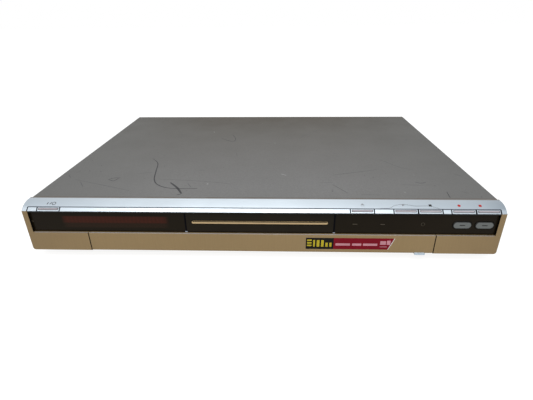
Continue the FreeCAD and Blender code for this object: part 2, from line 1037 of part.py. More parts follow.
def near_flat_end(edge):
    """The short flat edge at each end of the trim's top."""
    box = edge.BoundBox
    return near(box.ZMin, cover_top + nose_rise) and near(box.XLength, 0) and near(abs(box.XMin), side)


def band_button(name):
    """A button of the strip: curved cap, inner flange, stem and a raised rib along its middle."""
    left, right = button_places()[name]
    top = strip_angle + button_gap / nose_radius
    cap = nose_sector(nose_radius - trim_wall, nose_radius, top, lip_angle + over_turn, (left, right))
    rib_half = rib_wide / 2 / nose_radius
    rib = nose_sector(nose_radius - sunk, nose_radius + rib_rise, press_angle - rib_half,
                      press_angle + rib_half, (left + rib_inset, right - rib_inset))
    below = block((left - over, right + over), (nose_y - nose_radius - over, seam_y),
                  (lip_z - nose_radius / 2, lip_z + cap_foot))
    cap = cut(join(cap, rib), below)
    flange_radius = nose_radius - trim_wall - fit
    inset = (left + button_flange_inset, right - button_flange_inset)
    bridge = nose_sector(flange_radius - button_flange / 2, nose_radius - trim_wall + sunk, top,
                         top + bridge_turn, inset)
    flange = nose_sector(flange_radius - button_flange, flange_radius,
                         strip_angle - flange_reach / nose_radius, top + bridge_turn, inset)
    centre = middle((left, right))
    plunger = into_nose((centre - stem_half, centre + stem_half), (-stem / 2, stem / 2),
                        (trim_wall / 2, stem_length))
    return join(cap, bridge, flange, plunger)


def slant_switch(name):
    """The small switch under a button of the strip."""
    centre = middle(button_places()[name])
    near_tip = stem_length + switch_gap
    half = switch_size / 2
    tip = into_nose((centre - switch_tip_half, centre + switch_tip_half),
                    (-switch_tip_half, switch_tip_half), (near_tip, near_tip + switch_tip + switch_tip_root))
    body = into_nose((centre - half, centre + half), (-half, half),
                     (near_tip + switch_tip, near_tip + switch_tip + switch_body))
    return join(tip, body)


def slant_depth():
    near_side = stem_length + switch_gap + switch_tip + switch_body
    return (near_side, near_side + board)


def slant_way():
    """How far the slanting boards reach down and up the strip."""
    return (slant_shift - slant_board / 2, slant_shift + slant_board / 2)


def slant_boards_x():
    places = button_places()
    first = places["power_button"]
    left, inner, outer = slant_ends
    return [(first[0] - left, first[1] + inner),
            (places["open_close_button"][0] - left, places["rec_stop_button"][1] + outer)]


def upright_switch(x, z, y):
    """A switch on an upright board whose front lies at y."""
    half = switch_size / 2
    body = block((x - half, x + half), (y - switch_body, y), (z - half, z + half))
    tip = round_y(x, (y - switch_body - switch_tip, y - switch_body + switch_tip_root), z,
                  switch_tip_radius)
    return join(body, tip)


def pills():
    """X limits of the two select buttons, left one first."""
    right = strip_end - pill_offset
    second = (right - pill_wide, right)
    first = (second[0] - pill_space - pill_wide, second[0] - pill_space)
    return [first, second]


def pill_height():
    return (pill_z - pill_high / 2, pill_z + pill_high / 2)


def select_button(number):
    """A grey pill with a rounded front, and a flange behind the window."""
    x = pills()[number]
    z = pill_height()
    body = pill(x, z, (window_y - pill_proud, pill_flange_y()[1]))
    body = soften(body, pill_round, lambda e: near(e.BoundBox.YMax, window_y - pill_proud))
    flange = pill((x[0] - pill_flange, x[1] + pill_flange), (z[0] - pill_flange, z[1] + pill_flange),
                  pill_flange_y())
    foot = round_y(middle(x), (backing_y, pill_back()), pill_z, pill_foot)
    return join(body, flange, foot)


def pill_flange_y():
    return (backing_y + fit, backing_y + fit + pill_flange)


def pill_back():
    return face_y + key_board_y - switch_body - switch_tip - switch_gap


def tact_switches():
    board_front = face_y + key_board_y
    found = [slant_switch(name) for name in button_places()]
    found += [upright_switch(middle(x), pill_z, board_front) for x in pills()]
    reach = rocker_wide / 2 - rocker_switch_inset
    found += [upright_switch(rocker_place + turn * reach, niche_z, rocker_board_y()) for turn in (-1, 1)]
    return group(*found)


def rocker_board_y():
    sweep = rocker_wide / 2 * math.sin(math.radians(rocker_tilt))
    return rocker_y()[1] + sweep + fit + switch_tip + switch_body


def rocker_y():
    return (niche_y - rocker_proud, niche_y - rocker_proud + rocker_thick)


def rocker_pivot():
    return rocker_y()[1] - rocker_back


def key_boards_x():
    inner, outer = window_inner + key_board_side, side - key_board_side
    return [(-outer, -inner), (inner, outer)]


def key_boards():
    """The boards behind both windows, the slanting ones under the nose and the one behind the rocker."""
    y = face_y + key_board_y
    found = [block(x, (y, y + board),
                   (key_board_low, key_board_low + key_board_high)) for x in key_boards_x()]
    for x in slant_boards_x():
        found.append(into_nose(x, slant_way(), slant_depth()))
    x = (rocker_place - rocker_board_half, rocker_place + rocker_board_half)
    y = rocker_board_y()
    found.append(block(x, (y, y + board), (niche_z - rocker_board_high / 2, niche_z + rocker_board_high / 2)))
    return group(*found)


def display_x():
    return (display_offset - strip_end, -window_inner - display_inset)


def display_tube():
    """The flat glass display in front of the left board, with its row of pins."""
    y = face_y + key_board_y
    left, right = display_x()
    glass = block((left, right), (y - display_thick, y), (display_low, display_low + display_high))
    glass = soften(glass, display_round, lambda e: near(e.BoundBox.YMax, y - display_thick))
    tip = round_x((right - sunk, right + tube_tip), y - display_thick / 2, display_low + display_high / 2,
                  tube_tip_radius)
    return join(glass, tip)


def ir_sensor_and_lamps():
    """The remote sensor and two small lamps on the right board."""
    y = face_y + key_board_y
    dome = Part.makeSphere(sensor_radius, Vector(sensor_place, y - sensor_thick, pill_z))
    body = block((sensor_place - sensor_half, sensor_place + sensor_half), (y - sensor_thick, y),
                 (pill_z - sensor_half_high, pill_z + sensor_half_high))
    behind = block((sensor_place - sensor_half, sensor_place + sensor_half), (y, y + sensor_radius),
                   (pill_z - sensor_half_high, pill_z + sensor_half_high))
    sensor = cut(join(dome, body), behind)
    lamps = [block((x - lamp_half, x + lamp_half), (inside_y + lamp_gap, y),
                   (pill_z - lamp_half_high, pill_z + lamp_half_high)) for x in lamp_places]
    return group(sensor, *lamps)


def window(x):
    return block(x, (window_y, backing_y), (window_low, window_top))


def display_window():
    """The dark window left of the tray."""
    return window((window_gap - strip_end, -window_inner))


def control_window():
    """The dark window right of the tray, with an opening round each select button."""
    holes = []
    for x in pills():
        z = pill_height()
        holes.append(pill((x[0] - pill_rim, x[1] + pill_rim), (z[0] - pill_rim, z[1] + pill_rim),
                          (window_y - over, backing_y + over)))
    return cut(window((window_inner, strip_end - window_gap)), *holes)


def front_panel():
    """The gold front: side posts, lower face, the frame behind the windows and the niche."""
    shell = block((-side, side), (face_y, seam_y), (face_low, lip_z))
    shell = soften(shell, corner, lambda e: along(e, Vector(0, 1, 0)) and near(e.BoundBox.ZMin, face_low))
    shell = soften(shell, face_round, lambda e: near(e.BoundBox.YMax, face_y)
                   and e.BoundBox.ZMax < lip_z + over and not near(e.BoundBox.ZMin, lip_z))
    room = block((face_wall - side, side - face_wall), (face_y + face_wall, seam_y + over),
                 (niche_low, lip_z + over))
    opening = block((-strip_end, strip_end), (face_y - over, face_y + face_wall + over),
                    (ledge_z, lip_z + over))
    bay = block((-flap_half - flap_gap, flap_half + flap_gap),
                (face_y - over, flap_pivot_y + barrel_sweep()), (face_low - over, ledge_z + over))
    shell = cut(shell, room, opening, bay)
    strut = block((-strip_end - over, strip_end + over), (face_y + fit, face_y + face_wall),
                  (rail_top - rail, rail_top))
    extras = [strut]
    for x in frame_sides():
        extras.append(block(x, (backing_y, inside_y), (niche_top - niche_seat, backing_top)))
        extras.append(block((x[0], x[0] + frame_rib) if x[0] < 0 else (x[1] - frame_rib, x[1]),
                            (face_y + face_wall, seam_y), (niche_low - over, lip_z - frame_drop)))
    extras += niche_walls()
    extras += board_bosses()
    extras += side_tongues()
    extras.append(block((flange_inset - flange_x, flange_x - flange_inset),
                        (seam_y - seam_foot, seam_y + tongue_long),
                        (face_low, foot_height)))
    shell = join(shell, *extras)
    return cut(shell, *front_holes())


def barrel_sweep():
    """How far the flap's lower edge and tab reach behind its pivot when it opens."""
    return flap_barrel + tab_drop + fit


def frame_sides():
    return [(face_wall - sunk - side, -window_inner), (window_inner, side - face_wall + sunk)]


def niche_half():
    return flap_half - niche_inset


def niche_walls():
    """Ceiling, back and ends of the niche behind the flap."""
    half = niche_half() + backing
    low = niche_low - sunk
    top = window_low - niche_seat
    back = niche_y + backing
    front = flap_pivot_y + barrel_sweep()
    walls = [block((-half, half), (window_y + 2 * niche_seat, back), (niche_top, top)),
             block((-half, half), (niche_y, back), (low, top))]
    outer = flap_half + flap_gap + flap_ear
    end = block((half - backing, outer), (front, back), (low, top))
    ear = block((flap_half + flap_gap, outer), (face_y + 2 * fit, front + over),
                (face_low + face_round, face_low + flap_ear_high))
    reach = rocker_high / 2 + rocker_gap
    ears = [block((rocker_place - rocker_ear, rocker_place + rocker_ear),
                  (niche_y, rocker_pivot() + rocker_ear_back), z)
            for z in ((niche_z + reach, niche_top + sunk), (low, niche_z - reach))]
    return walls + both(end) + both(ear) + ears


def board_bosses():
    """Bosses that carry the boards, and ribs under the slanting ones."""
    found = []
    y = (inside_y - sunk, face_y + key_board_y)
    for left, right in key_boards_x():
        found += [round_y(x, y, key_board_low + boss_rise, boss_radius)
                  for x in (left + boss_inset, right - boss_inset)]
    y = (niche_y + backing - sunk, rocker_board_y())
    half = rocker_board_half - rocker_boss_inset
    found += [round_y(rocker_place + turn * half, y, niche_z, rocker_boss_radius) for turn in (-1, 1)]
    for left, right in slant_boards_x():
        found += [slant_rib((left, left + backing)), slant_rib((right - backing, right))]
    return found


def slant_rib(x):
    """A rib behind the window frame that a slanting board lies on, clear of the upright board."""
    under = slant_depth()[1]
    seat = into_nose(x, slant_way(), (under, under + over)).BoundBox
    upright = face_y + key_board_y
    low = block(x, (backing_y, upright - fit), (seat.ZMin - slant_rib_high, lip_z))
    high = block(x, (upright - frame_rib, seat.YMax), (key_board_low + key_board_high + fit, lip_z))
    above = into_nose((x[0] - over, x[1] + over), (-2 * nose_radius, 2 * nose_radius),
                      (-2 * nose_radius, under))
    return cut(join(low, high), above)


def side_tongues():
    """Tongues at the sides that slip inside the cover."""
    z = (face_low + side_tongue_rise, lip_z - sunk)
    tongue = block((flange_x + side_tongue_gap, side - sheet - fit),
                   (seam_y - 2 * over, seam_y + tongue_long), z)
    root = block((side - face_wall - sunk, side - sheet - fit), (seam_y - seam_foot, seam_y - sunk), z)
    return both(join(tongue, root))


def front_holes():
    """Openings for the display, lamps, sensor, select buttons, jacks, rocker and the flap's pins."""
    frame = (backing_y - over, inside_y + frame_clear)
    left, right = display_x()
    holes = [block((left - fit, right + fit), frame, (display_low - fit, backing_top + over))]
    pressed = (backing_y - over, pill_flange_y()[1] + button_travel + fit)
    for x in pills():
        z = pill_height()
        holes.append(pill((x[0] - pill_frame, x[1] + pill_frame), (z[0] - pill_frame, z[1] + pill_frame),
                          pressed))
    holes += [block((x - lamp_half - lamp_gap, x + lamp_half + lamp_gap), frame,
                    (pill_z - lamp_half_high - lamp_gap, pill_z + lamp_half_high + lamp_gap))
              for x in lamp_places]
    holes.append(round_y(sensor_place, frame, pill_z, sensor_radius + sensor_room))
    wall = (niche_y - over, niche_y + backing + over)
    holes += [round_y(jack_x(number), wall, niche_z, jack_radius + fit) for number in round_jacks]
    holes.append(round_y(jack_x(0), wall, niche_z, mini_din_radius + fit))
    x = jack_x(jack_count - 1)
    holes.append(block((x - link_wide / 2 - fit, x + link_wide / 2 + fit), wall,
                       (niche_z - link_high / 2 - fit, niche_z + link_high / 2 + fit)))
    half = rocker_wide / 2 + rocker_gap
    holes.append(block((rocker_place - half, rocker_place + half),
                       (niche_y - over, rocker_y()[1] + 3 * over),
                       (niche_z - rocker_high / 2 - rocker_gap, niche_z + rocker_high / 2 + rocker_gap)))
    reach = rocker_high / 2 + rocker_gap + pin_length + fit
    holes.append(column(rocker_place, rocker_pivot(), (niche_z - reach, niche_z + reach),
                        pin_radius + pin_fit))
    pin_end = flap_half + flap_gap + pin_length + fit
    holes += both(round_x((flap_half, pin_end), flap_pivot_y, flap_pivot_z, pin_radius + pin_fit))
    return holes


def front_flap():
    """The drop-down flap with its pins, and a small pale tab under its lower edge."""
    y = (face_y, face_y + face_wall)
    plate = block((-flap_half, flap_half), y, (flap_pivot_z, ledge_z))
    plate = soften(plate, flap_round,
                   lambda e: near(e.BoundBox.YMax, face_y) and e.BoundBox.ZMin > flap_pivot_z + over)
    barrel = round_x((-flap_half, flap_half), flap_pivot_y, flap_pivot_z, flap_barrel)
    pin_x = flap_half + flap_gap + pin_length
    pin = round_x((-pin_x, pin_x), flap_pivot_y, flap_pivot_z, pin_radius)
    flap = join(plate, barrel, pin)
    tab = block((tab_offset, tab_offset + tab_wide), (face_y - tab_reach, flap_pivot_y),
                (face_low - tab_drop, face_low - tab_drop + tab_high))
    tab = soften(tab, tab_round, lambda e: along(e, Vector(0, 1, 0)))
    return group(flap, cut(tab, flap))


def program_rocker():
    """The plus and minus key, tipping about an upright pin."""
    half = rocker_wide / 2
    z = (niche_z - rocker_high / 2, niche_z + rocker_high / 2)
    body = block((rocker_place - half, rocker_place + half), rocker_y(), z)
    body = soften(body, rocker_round, lambda e: near(e.BoundBox.YMax, rocker_y()[0]))
    front = rocker_y()[0]
    dish = round_y(rocker_place, (front - over, front + rocker_dish_deep), niche_z, rocker_dish)
    reach = rocker_high / 2 + rocker_gap + pin_length
    pin = column(rocker_place, rocker_pivot(), (niche_z - reach, niche_z + reach), pin_radius)
    return join(cut(body, dish), pin)


def jack_board():
    slab = block(jack_board_x(), jack_board_y(), jack_board_z())
    y = jack_board_y()[1] - jack_post_inset
    return cut(slab, *[column(x, y, (0, cover_top), screw_radius + screw_fit) for x in jack_posts()])


def round_jack(x, z, wall, reach):
    """A round socket that stands through a wall: a sleeve with a bore, and its block behind."""
    out = wall - reach
    sleeve = round_y(x, (out, wall + backing + over), z, jack_radius)
    bore = round_y(x, (out - over, wall), z, jack_bore)
    deep = (out - over, out + jack_ring_deep)
    ring = cut(round_y(x, deep, z, jack_radius - jack_ring), round_y(x, deep, z, jack_bore + jack_ring))
    return cut(sleeve, bore, ring)


def front_jacks():
    """Round sockets for video and sound, a small round one and a narrow link socket, on their board."""
    found = []
    wall = niche_y
    base = (niche_y + backing, niche_y + backing + jack_block)
    z = (jack_board_z()[1], niche_z + jack_body / 2)
    for number in round_jacks:
        x = jack_x(number)
        found.append(join(round_jack(x, niche_z, wall, jack_reach),
                          block((x - jack_block_half, x + jack_block_half), base, z)))
    x = jack_x(0)
    front = niche_y - mini_din_proud
    barrel = round_y(x, (front, base[0] + over), niche_z, mini_din_radius)
    deep = (front - over, niche_y + mini_din_deep)
    trench = cut(round_y(x, deep, niche_z, mini_din_radius - mini_din_ring),
                 round_y(x, deep, niche_z, mini_din_radius - 2 * mini_din_ring))
    pins = [round_y(x + dx, (front - over, niche_y + mini_din_pin_deep), niche_z + dz, mini_din_pin_radius)
            for dx, dz in mini_din_pins]
    found.append(cut(join(barrel, block((x - mini_din_block_half, x + mini_din_block_half), base, z)),
                     trench, *pins))
    x = jack_x(jack_count - 1)
    half, half_high = link_wide / 2, link_high / 2
    plug = block((x - half, x + half), (niche_y - link_proud, base[0] + over),
                 (niche_z - half_high, niche_z + half_high))
    slot = block((x - half + link_wall, x + half - link_wall), (niche_y - over, niche_y + link_deep),
                 (niche_z - half_high + link_wall, niche_z + half_high - link_wall))
    found.append(cut(join(plug, block((x - jack_block_half, x + jack_block_half), base, z)), slot))
    return group(*found)


# Power supply, main board and sockets

def power_board():
    slab = block((power_x, power_x + power_wide), (power_y, board_back), (power_z, power_z + board_thick))
    return cut(slab, *post_holes(power_z))


def post_holes(level):
    """Screw holes over the posts of one level."""
    return [column(x, y, (level - over, level + board_thick + over), screw_radius + screw_fit)
            for x, y, top, _ in board_posts() if near(top, level)]


def power_transformer():
    """The chopper transformer: a ferrite core round a wound bobbin, and a small choke beside it."""
    centre = power_x + power_wide / 2
    x = (centre - transformer_wide / 2, centre + transformer_wide / 2)
    y = (power_y + power_deep * transformer_place,
         power_y + power_deep * transformer_place + transformer_deep)
    low = power_z + board_thick
    core_low, top = low + bobbin_high, low + transformer_high
    core = block(x, y, (core_low, top))
    hole = block((x[0] + transformer_leg, x[1] - transformer_leg), (y[0] - over, y[1] + over),
                 (core_low + core_yoke, top - core_yoke))
    bobbin = block((x[0] + bobbin_inset, x[1] - bobbin_inset), (y[0] + bobbin_ends, y[1] - bobbin_ends),
                   (low, core_low))
    coil = round_y(centre, (y[0] + coil_ends, y[1] - coil_ends), middle((core_low, top)), coil_thick / 2)
    main = join(cut(core, hole), coil, bobbin)
    choke_y = y[0] - choke_space
    choke = column(centre, choke_y, (low, low + choke_high), choke_radius)
    eye = column(centre, choke_y, (low + choke_high - choke_eye_deep, low + choke_high + over), choke_eye)
    return group(main, cut(choke, eye))


def power_capacitors():
    """The large mains capacitor and a row of small ones."""
    z = power_z + board_thick
    inset, share = capacitor_place
    found = [capacitor(power_x + inset, power_y + power_deep * share, z, capacitor_radius, capacitor_high)]
    for k in range(small_capacitors):
        y = power_y + small_capacitor_first + small_capacitor_pitch * k
        found.append(capacitor(power_x + power_wide - small_capacitor_inset, y, z, *small_capacitor))
    return group(*found)


def capacitor(x, y, z, radius, high):
    can = column(x, y, (z, z + high), radius)
    can = soften(can, capacitor_round, lambda e: near(e.BoundBox.ZMin, z + high))
    level = (z + sleeve_ring[0], z + sleeve_ring[1])
    ring = cut(column(x, y, level, radius + over), column(x, y, level, radius - sleeve_ring_deep))
    return cut(can, ring)


def power_heatsinks():
    """Two finned aluminium heatsinks that stand on the power board."""
    z = (power_z + board_thick, power_z + board_thick + heatsink_high)
    found = []
    for x, y in ((power_x + power_wide * heatsink_share, power_y + power_deep * heatsink_share),
                 (power_x + heatsink_corner[0], power_y + heatsink_corner[1])):
        spine = block((x, x + heatsink_spine), (y, y + heatsink_long), z)
        fins = []
        for k in range(heatsink_fins):
            fin_y = y + heatsink_pitch * k
            fins.append(block((x, x + heatsink_reach), (fin_y, fin_y + heatsink_fin), z))
        found.append(join(spine, *fins))
    return group(*found)


def ac_inlet():
    """The two-pin mains inlet with its cavity, on the power board's rear edge."""
    x = (inlet_x - inlet_wide / 2, inlet_x + inlet_wide / 2)
    z = (inlet_z - inlet_high / 2, inlet_z + inlet_high / 2)
    body = block(x, (rear_in - inlet_deep, rear_out + inlet_proud), z)
    foot = block(x, (rear_in - inlet_deep, board_back), (power_z + board_thick, z[0] + sunk))
    ends = (inlet_cavity_wide - inlet_cavity_high) / 2
    mouth = (rear_in - inlet_mouth, rear_out + inlet_proud + over)
    cavity = join(block((inlet_x - ends, inlet_x + ends), mouth,
                        (inlet_z - inlet_cavity_high / 2, inlet_z + inlet_cavity_high / 2)),
                  round_y(inlet_x - ends, mouth, inlet_z, inlet_cavity_high / 2),
                  round_y(inlet_x + ends, mouth, inlet_z, inlet_cavity_high / 2))
    shell = cut(join(body, foot), cavity)
    pins = [round_y(inlet_x + turn * inlet_pin_space / 2,
                    (rear_in - inlet_pin_root, rear_out - inlet_pin_inset), inlet_z, inlet_pin)
            for turn in (-1, 1)]
    return join(shell, *pins)


def main_board():
    slab = block((main_left, main_right), (main_y, board_back), (main_z, main_top))
    return cut(slab, *post_holes(main_z))


def main_chips():
    """The larger packages, a heat spreader and small capacitors on the main board."""
    found = []
    for (x, y), (long, deep, high) in packages:
        left, front = main_left + x, main_y + y
        found.append(block((left, left + long), (front, front + deep), (main_top, main_top + high)))
    for k in range(board_capacitors):
        x = main_left + board_capacitor_x + board_capacitor_pitch * k + board_capacitor_gap * (k // 2)
        y = main_y + board_capacitor_y - board_capacitor_row * (k % 2)
        found.append(capacitor(x, y, main_top, *board_capacitor))
    (x, y), (long, deep, high) = packages[0]
    x = (main_left + x + spreader_inset, main_left + x + long - spreader_inset)
    y = (main_y + y + spreader_inset, main_y + y + deep - spreader_inset)
    base = main_top + high
    spreader = block(x, y, (base, base + spreader_thick))
    fins = []
    for k in range(spreader_fins):
        left = x[0] + spreader_pitch * k
        fins.append(block((left, left + spreader_fin), y,
                          (base + spreader_thick - sunk, base + spreader_high)))
    found.append(join(spreader, *fins))
    return group(*found)


def coax(x, z, inner):
    """An aerial socket: a sleeve with a narrow contact in the middle."""
    out = back_y + socket_reach
    sleeve = round_y(x, (inner, out), z, coax_radius)
    bore = round_y(x, (out - coax_deep, out + over), z, coax_bore)
    pin = round_y(x, (out - coax_deep - over, out - over), z, coax_pin)
    collar = round_y(x, (rear_out, rear_out + coax_collar_thick), z, coax_radius + coax_collar)
    return join(cut(join(sleeve, collar), bore), pin)


def tuner_modules():
    """Two screened tuner cans, each with an aerial socket in and out."""
    found = []
    for x in tuner_places():
        half = tuner_wide / 2
        can = block((x - half, x + half), (rear_in - tuner_deep, rear_in),
                    (main_top, main_top + tuner_high))
        notches = []
        for k in range(tuner_notches):
            y = rear_in - tuner_deep + notch_first + notch_pitch * k
            notches.append(block((x - half - over, x - half + notch_deep), (y, y + notch_long),
                                 (main_top + notch_ends, main_top + tuner_high - notch_ends)))
        sockets = [coax(x, z, rear_in - coax_root) for z in coax_rows]
        found.append(join(cut(can, *notches), *sockets))
    return group(*found)


def scart_sockets():
    """Two wide sockets with rows of narrow contact slots inside a metal skirt."""
    return group(*[scart(x) for x in scart_places()])


def scart(x):
    z = scart_z()
    half = scart_wide / 2
    out = rear_out + scart_proud
    body = scart_slab(x, z, 0.0, scart_corner, (rear_in - scart_root, out))
    inner = scart_corner - scart_skirt / 2
    deep = (out - scart_deep, out + over)
    tools = [cut(scart_slab(x, z, scart_skirt, inner, deep),
                 scart_slab(x, z, scart_skirt + scart_slit, inner, deep))]
    near_row, far_row = contact_rows
    for k in range(contacts):
        upper = x - half + contact_first + k * contact_pitch
        lower = upper + contact_shift
        tools.append(block((upper - contact_half, upper + contact_half), deep, (z + near_row, z + far_row)))
        tools.append(block((lower - contact_half, lower + contact_half), deep, (z - far_row, z - near_row)))
    foot = block((x - half, x + half), (rear_in - scart_root, board_back),
                 (main_top, z - scart_high / 2 + sunk))
    return cut(join(body, foot), *tools)


def scart_slab(x, z, inset, corner_cut, y):
    """The wide socket's outline with one slanted corner, drawn out along Y."""
    half = scart_wide / 2 - inset
    high = scart_high / 2 - inset
    outline = [(x - half, z + high), (x + half, z + high), (x + half, z - high + corner_cut),
               (x + half - corner_cut, z - high), (x - half, z - high)]
    face = Part.Face(Part.makePolygon([Vector(a, y[0], c) for a, c in outline + outline[:1]]))
    return face.extrude(Vector(0, y[1] - y[0], 0))


def rear_jacks():
    """Columns of round sockets in two rows, each column on its own block."""
    found = []
    for x in rear_jack_places():
        half = rear_jack_block / 2
        base = block((x - half, x + half), (rear_in - rear_jack_deep, rear_in),
                     (main_top, rear_jack_rows[-1] + half))
        sleeves = []
        for z in rear_jack_rows:
            sleeve = round_y(x, (rear_in - rear_jack_root, back_y + rear_jack_reach), z, jack_radius)
            collar = round_y(x, (rear_out, rear_out + jack_collar_thick), z, jack_radius + jack_collar)
            bore = round_y(x, (rear_out, back_y + rear_jack_reach + over), z, jack_bore)
            sleeves.append(cut(join(sleeve, collar), bore))
        found.append(join(base, *sleeves))
    return group(*found)


def fan_frame():
    """The square fan housing, with a bearing held by three arms."""
    y = (rear_in - fan_thick, rear_in)
    half = fan_size / 2
    body = block((fan_x - half, fan_x + half), y, (fan_z - half, fan_z + half))
    body = soften(body, fan_round, lambda e: along(e, Vector(0, 1, 0)))
    through = (y[0] - over, y[1] + over)
    place = half - fan_hole_inset
    holes = [round_y(fan_x + a * place, through, fan_z + c * place, fan_hole)
             for a in (-1, 1) for c in (-1, 1)]
    shell = cut(body, round_y(fan_x, through, fan_z, fan_bore), *holes)
    arms = []
    for k in range(fan_arms):
        arm = block((fan_x, fan_x + fan_bore + over), (y[0], y[0] + fan_arm),
                    (fan_z - fan_arm_half, fan_z + fan_arm_half))
        arm.rotate(Vector(fan_x, 0, fan_z), Vector(0, 1, 0), 90 + 360 / fan_arms * k)
        arms.append(arm)
    seat = round_y(fan_x, (y[0], y[0] + fan_seat), fan_z, fan_hub)
    shaft = round_y(fan_x, through, fan_z, axle_radius + axle_fit)
    return cut(join(shell, seat, *arms), shaft)


def fan_rotor():
    """The hub with its pitched blades and its shaft."""
    y = (rear_in - fan_thick + fan_seat + fit, rear_in - fan_back_gap)
    hub = round_y(fan_x, y, fan_z, fan_hub)
    shaft = round_y(fan_x, (rear_in - fan_thick + fan_shaft_inset, y[1]), fan_z, axle_radius)
    blades = []
    for k in range(blade_count):
        blade = block((fan_x - blade_half, fan_x + blade_half),
                      (middle(y) - blade_half_deep, middle(y) + blade_half_deep),
                      (fan_z + fan_hub - over, fan_z + blade_radius))
        blade.rotate(Vector(fan_x, middle(y), fan_z), Vector(0, 0, 1), blade_pitch)
        blade.rotate(Vector(fan_x, 0, fan_z), Vector(0, 1, 0), 360 / blade_count * k)
        blades.append(blade)
    limit = round_y(fan_x, (y[0], y[1]), fan_z, blade_radius)
    return join(hub, shaft, *[blade.common(limit) for blade in blades])


# Hard disk

def hdd_bracket():
    """The folded bracket under the hard disk, with ears on its posts and low sides."""
    x = (hdd_x - chassis_sheet, hdd_x + hdd_wide + chassis_sheet)
    z = (hdd_low - chassis_sheet, hdd_low)
    floor = block(x, (hdd_y, hdd_y + hdd_long), z)
    walls = [block(wall_x, (hdd_y, hdd_y + hdd_long), (z[0], z[0] + bracket_side))
             for wall_x in ((x[0], x[0] + chassis_sheet), (x[1] - chassis_sheet, x[1]))]
    ears = []
    for y in hdd_ears():
        span = (y - ear_half, y + ear_half)
        ears += [block((hdd_x - ear_reach, x[0] + ear_root), span, z),
                 block((x[1] - ear_root, hdd_x + hdd_wide + ear_reach), span, z)]
    middle_x, middle_y = middle(x), hdd_y + hdd_long / 2
    through = (z[0] - over, z[1] + over)
    openings = [block((middle_x + side * bracket_hole_space - bracket_hole_wide / 2,
                       middle_x + side * bracket_hole_space + bracket_hole_wide / 2),
                      (middle_y + end * bracket_hole_step - bracket_hole_long / 2,
                       middle_y + end * bracket_hole_step + bracket_hole_long / 2), through)
                for side in (-1, 1) for end in (-1, 1)]
    holes = [column(px, y, through, screw_radius + screw_fit)
             for px, y, top, _ in board_posts() if near(top, z[0])]
    return cut(join(floor, *walls, *ears), *openings, *holes)


def hdd_base():
    """The cast base of the hard disk."""
    body = block((hdd_x, hdd_x + hdd_wide), (hdd_y, hdd_y + hdd_long), (hdd_low, hdd_low + hdd_base_high))
    body = soften(body, hdd_round, lambda e: along(e, Vector(0, 0, 1)))
    plug = block((hdd_x + hdd_plug[0], hdd_x + hdd_plug[1]),
                 (hdd_y + hdd_long - hdd_plug_deep, hdd_y + hdd_long + over),
                 (hdd_low + hdd_plug_z[0], hdd_low + hdd_plug_z[1]))
    return cut(body, plug)


def hdd_lid():
    """The stepped lid of the hard disk, with a round raised field over the platters."""
    low = hdd_low + hdd_base_high
    z = (low, low + hdd_lid_thick)
    plate = block((hdd_x + hdd_lid_inset, hdd_x + hdd_wide - hdd_lid_inset),
                  (hdd_y + hdd_lid_inset, hdd_y + hdd_long - hdd_lid_inset), (low, z[1] - hdd_lid_step))
    plate = soften(plate, hdd_lid_round, lambda e: along(e, Vector(0, 0, 1)))
    field = column(hdd_x + hdd_wide / 2, hdd_y + hdd_field_place, z, hdd_field)
    ramp_side, ramp_front, ramp_back = hdd_ramp
    ramp = block((hdd_x + ramp_side, hdd_x + hdd_wide - ramp_side),
                 (hdd_y + ramp_front, hdd_y + hdd_long - ramp_back), z)
    return join(plate, field, ramp)


# Disc drive

def drive_case():
    """The drive's folded steel case: floor, sides and back, with ears for its screws."""
    back = drive_y + drive_deep
    floor = block((-drive_half, drive_half), (drive_y, back), (drive_low, drive_low + sheet))
    wall = block((drive_half - sheet, drive_half), (drive_y, back), (drive_low, drive_top - sheet))
    rear = block((-drive_half, drive_half), (back - sheet, back), (drive_low, drive_top - sheet))
    ears = []
    for y in drive_ears():
        ears += both(block((drive_half - drive_ear_root, drive_half + ear_reach),
                           (y - ear_half, y + ear_half), (drive_low, drive_low + sheet)))
    holes = [column(x, y, (drive_low - over, drive_low + sheet + over), screw_radius + screw_fit)
             for x, y, top, _ in board_posts() if near(top, drive_low)]
    plug = block((drive_plug[0] - drive_half, drive_plug[1] - drive_half),
                 (back - drive_plug_deep, back + over),
                 (drive_low + drive_plug_z[0], drive_low + drive_plug_z[1]))
    return cut(join(floor, *both(wall), rear, *ears), plug, *holes)


def drive_lid():
    """The drive's lid, with short sides outside the case and a raised field over the clamper."""
    back = drive_y + drive_deep
    top = block((-drive_half, drive_half), (drive_y, back), (drive_top - sheet, drive_top))
    lip = block((drive_half, drive_half + sheet), (drive_y, back), (drive_top - drive_lip, drive_top))
    dome = column(0, spindle_y, (drive_top - sheet / 2, drive_top + dome_rise), dome_radius)
    return join(top, dome, *both(lip))


def frame_back():
    return drive_y + drive_deep - sheet - fit


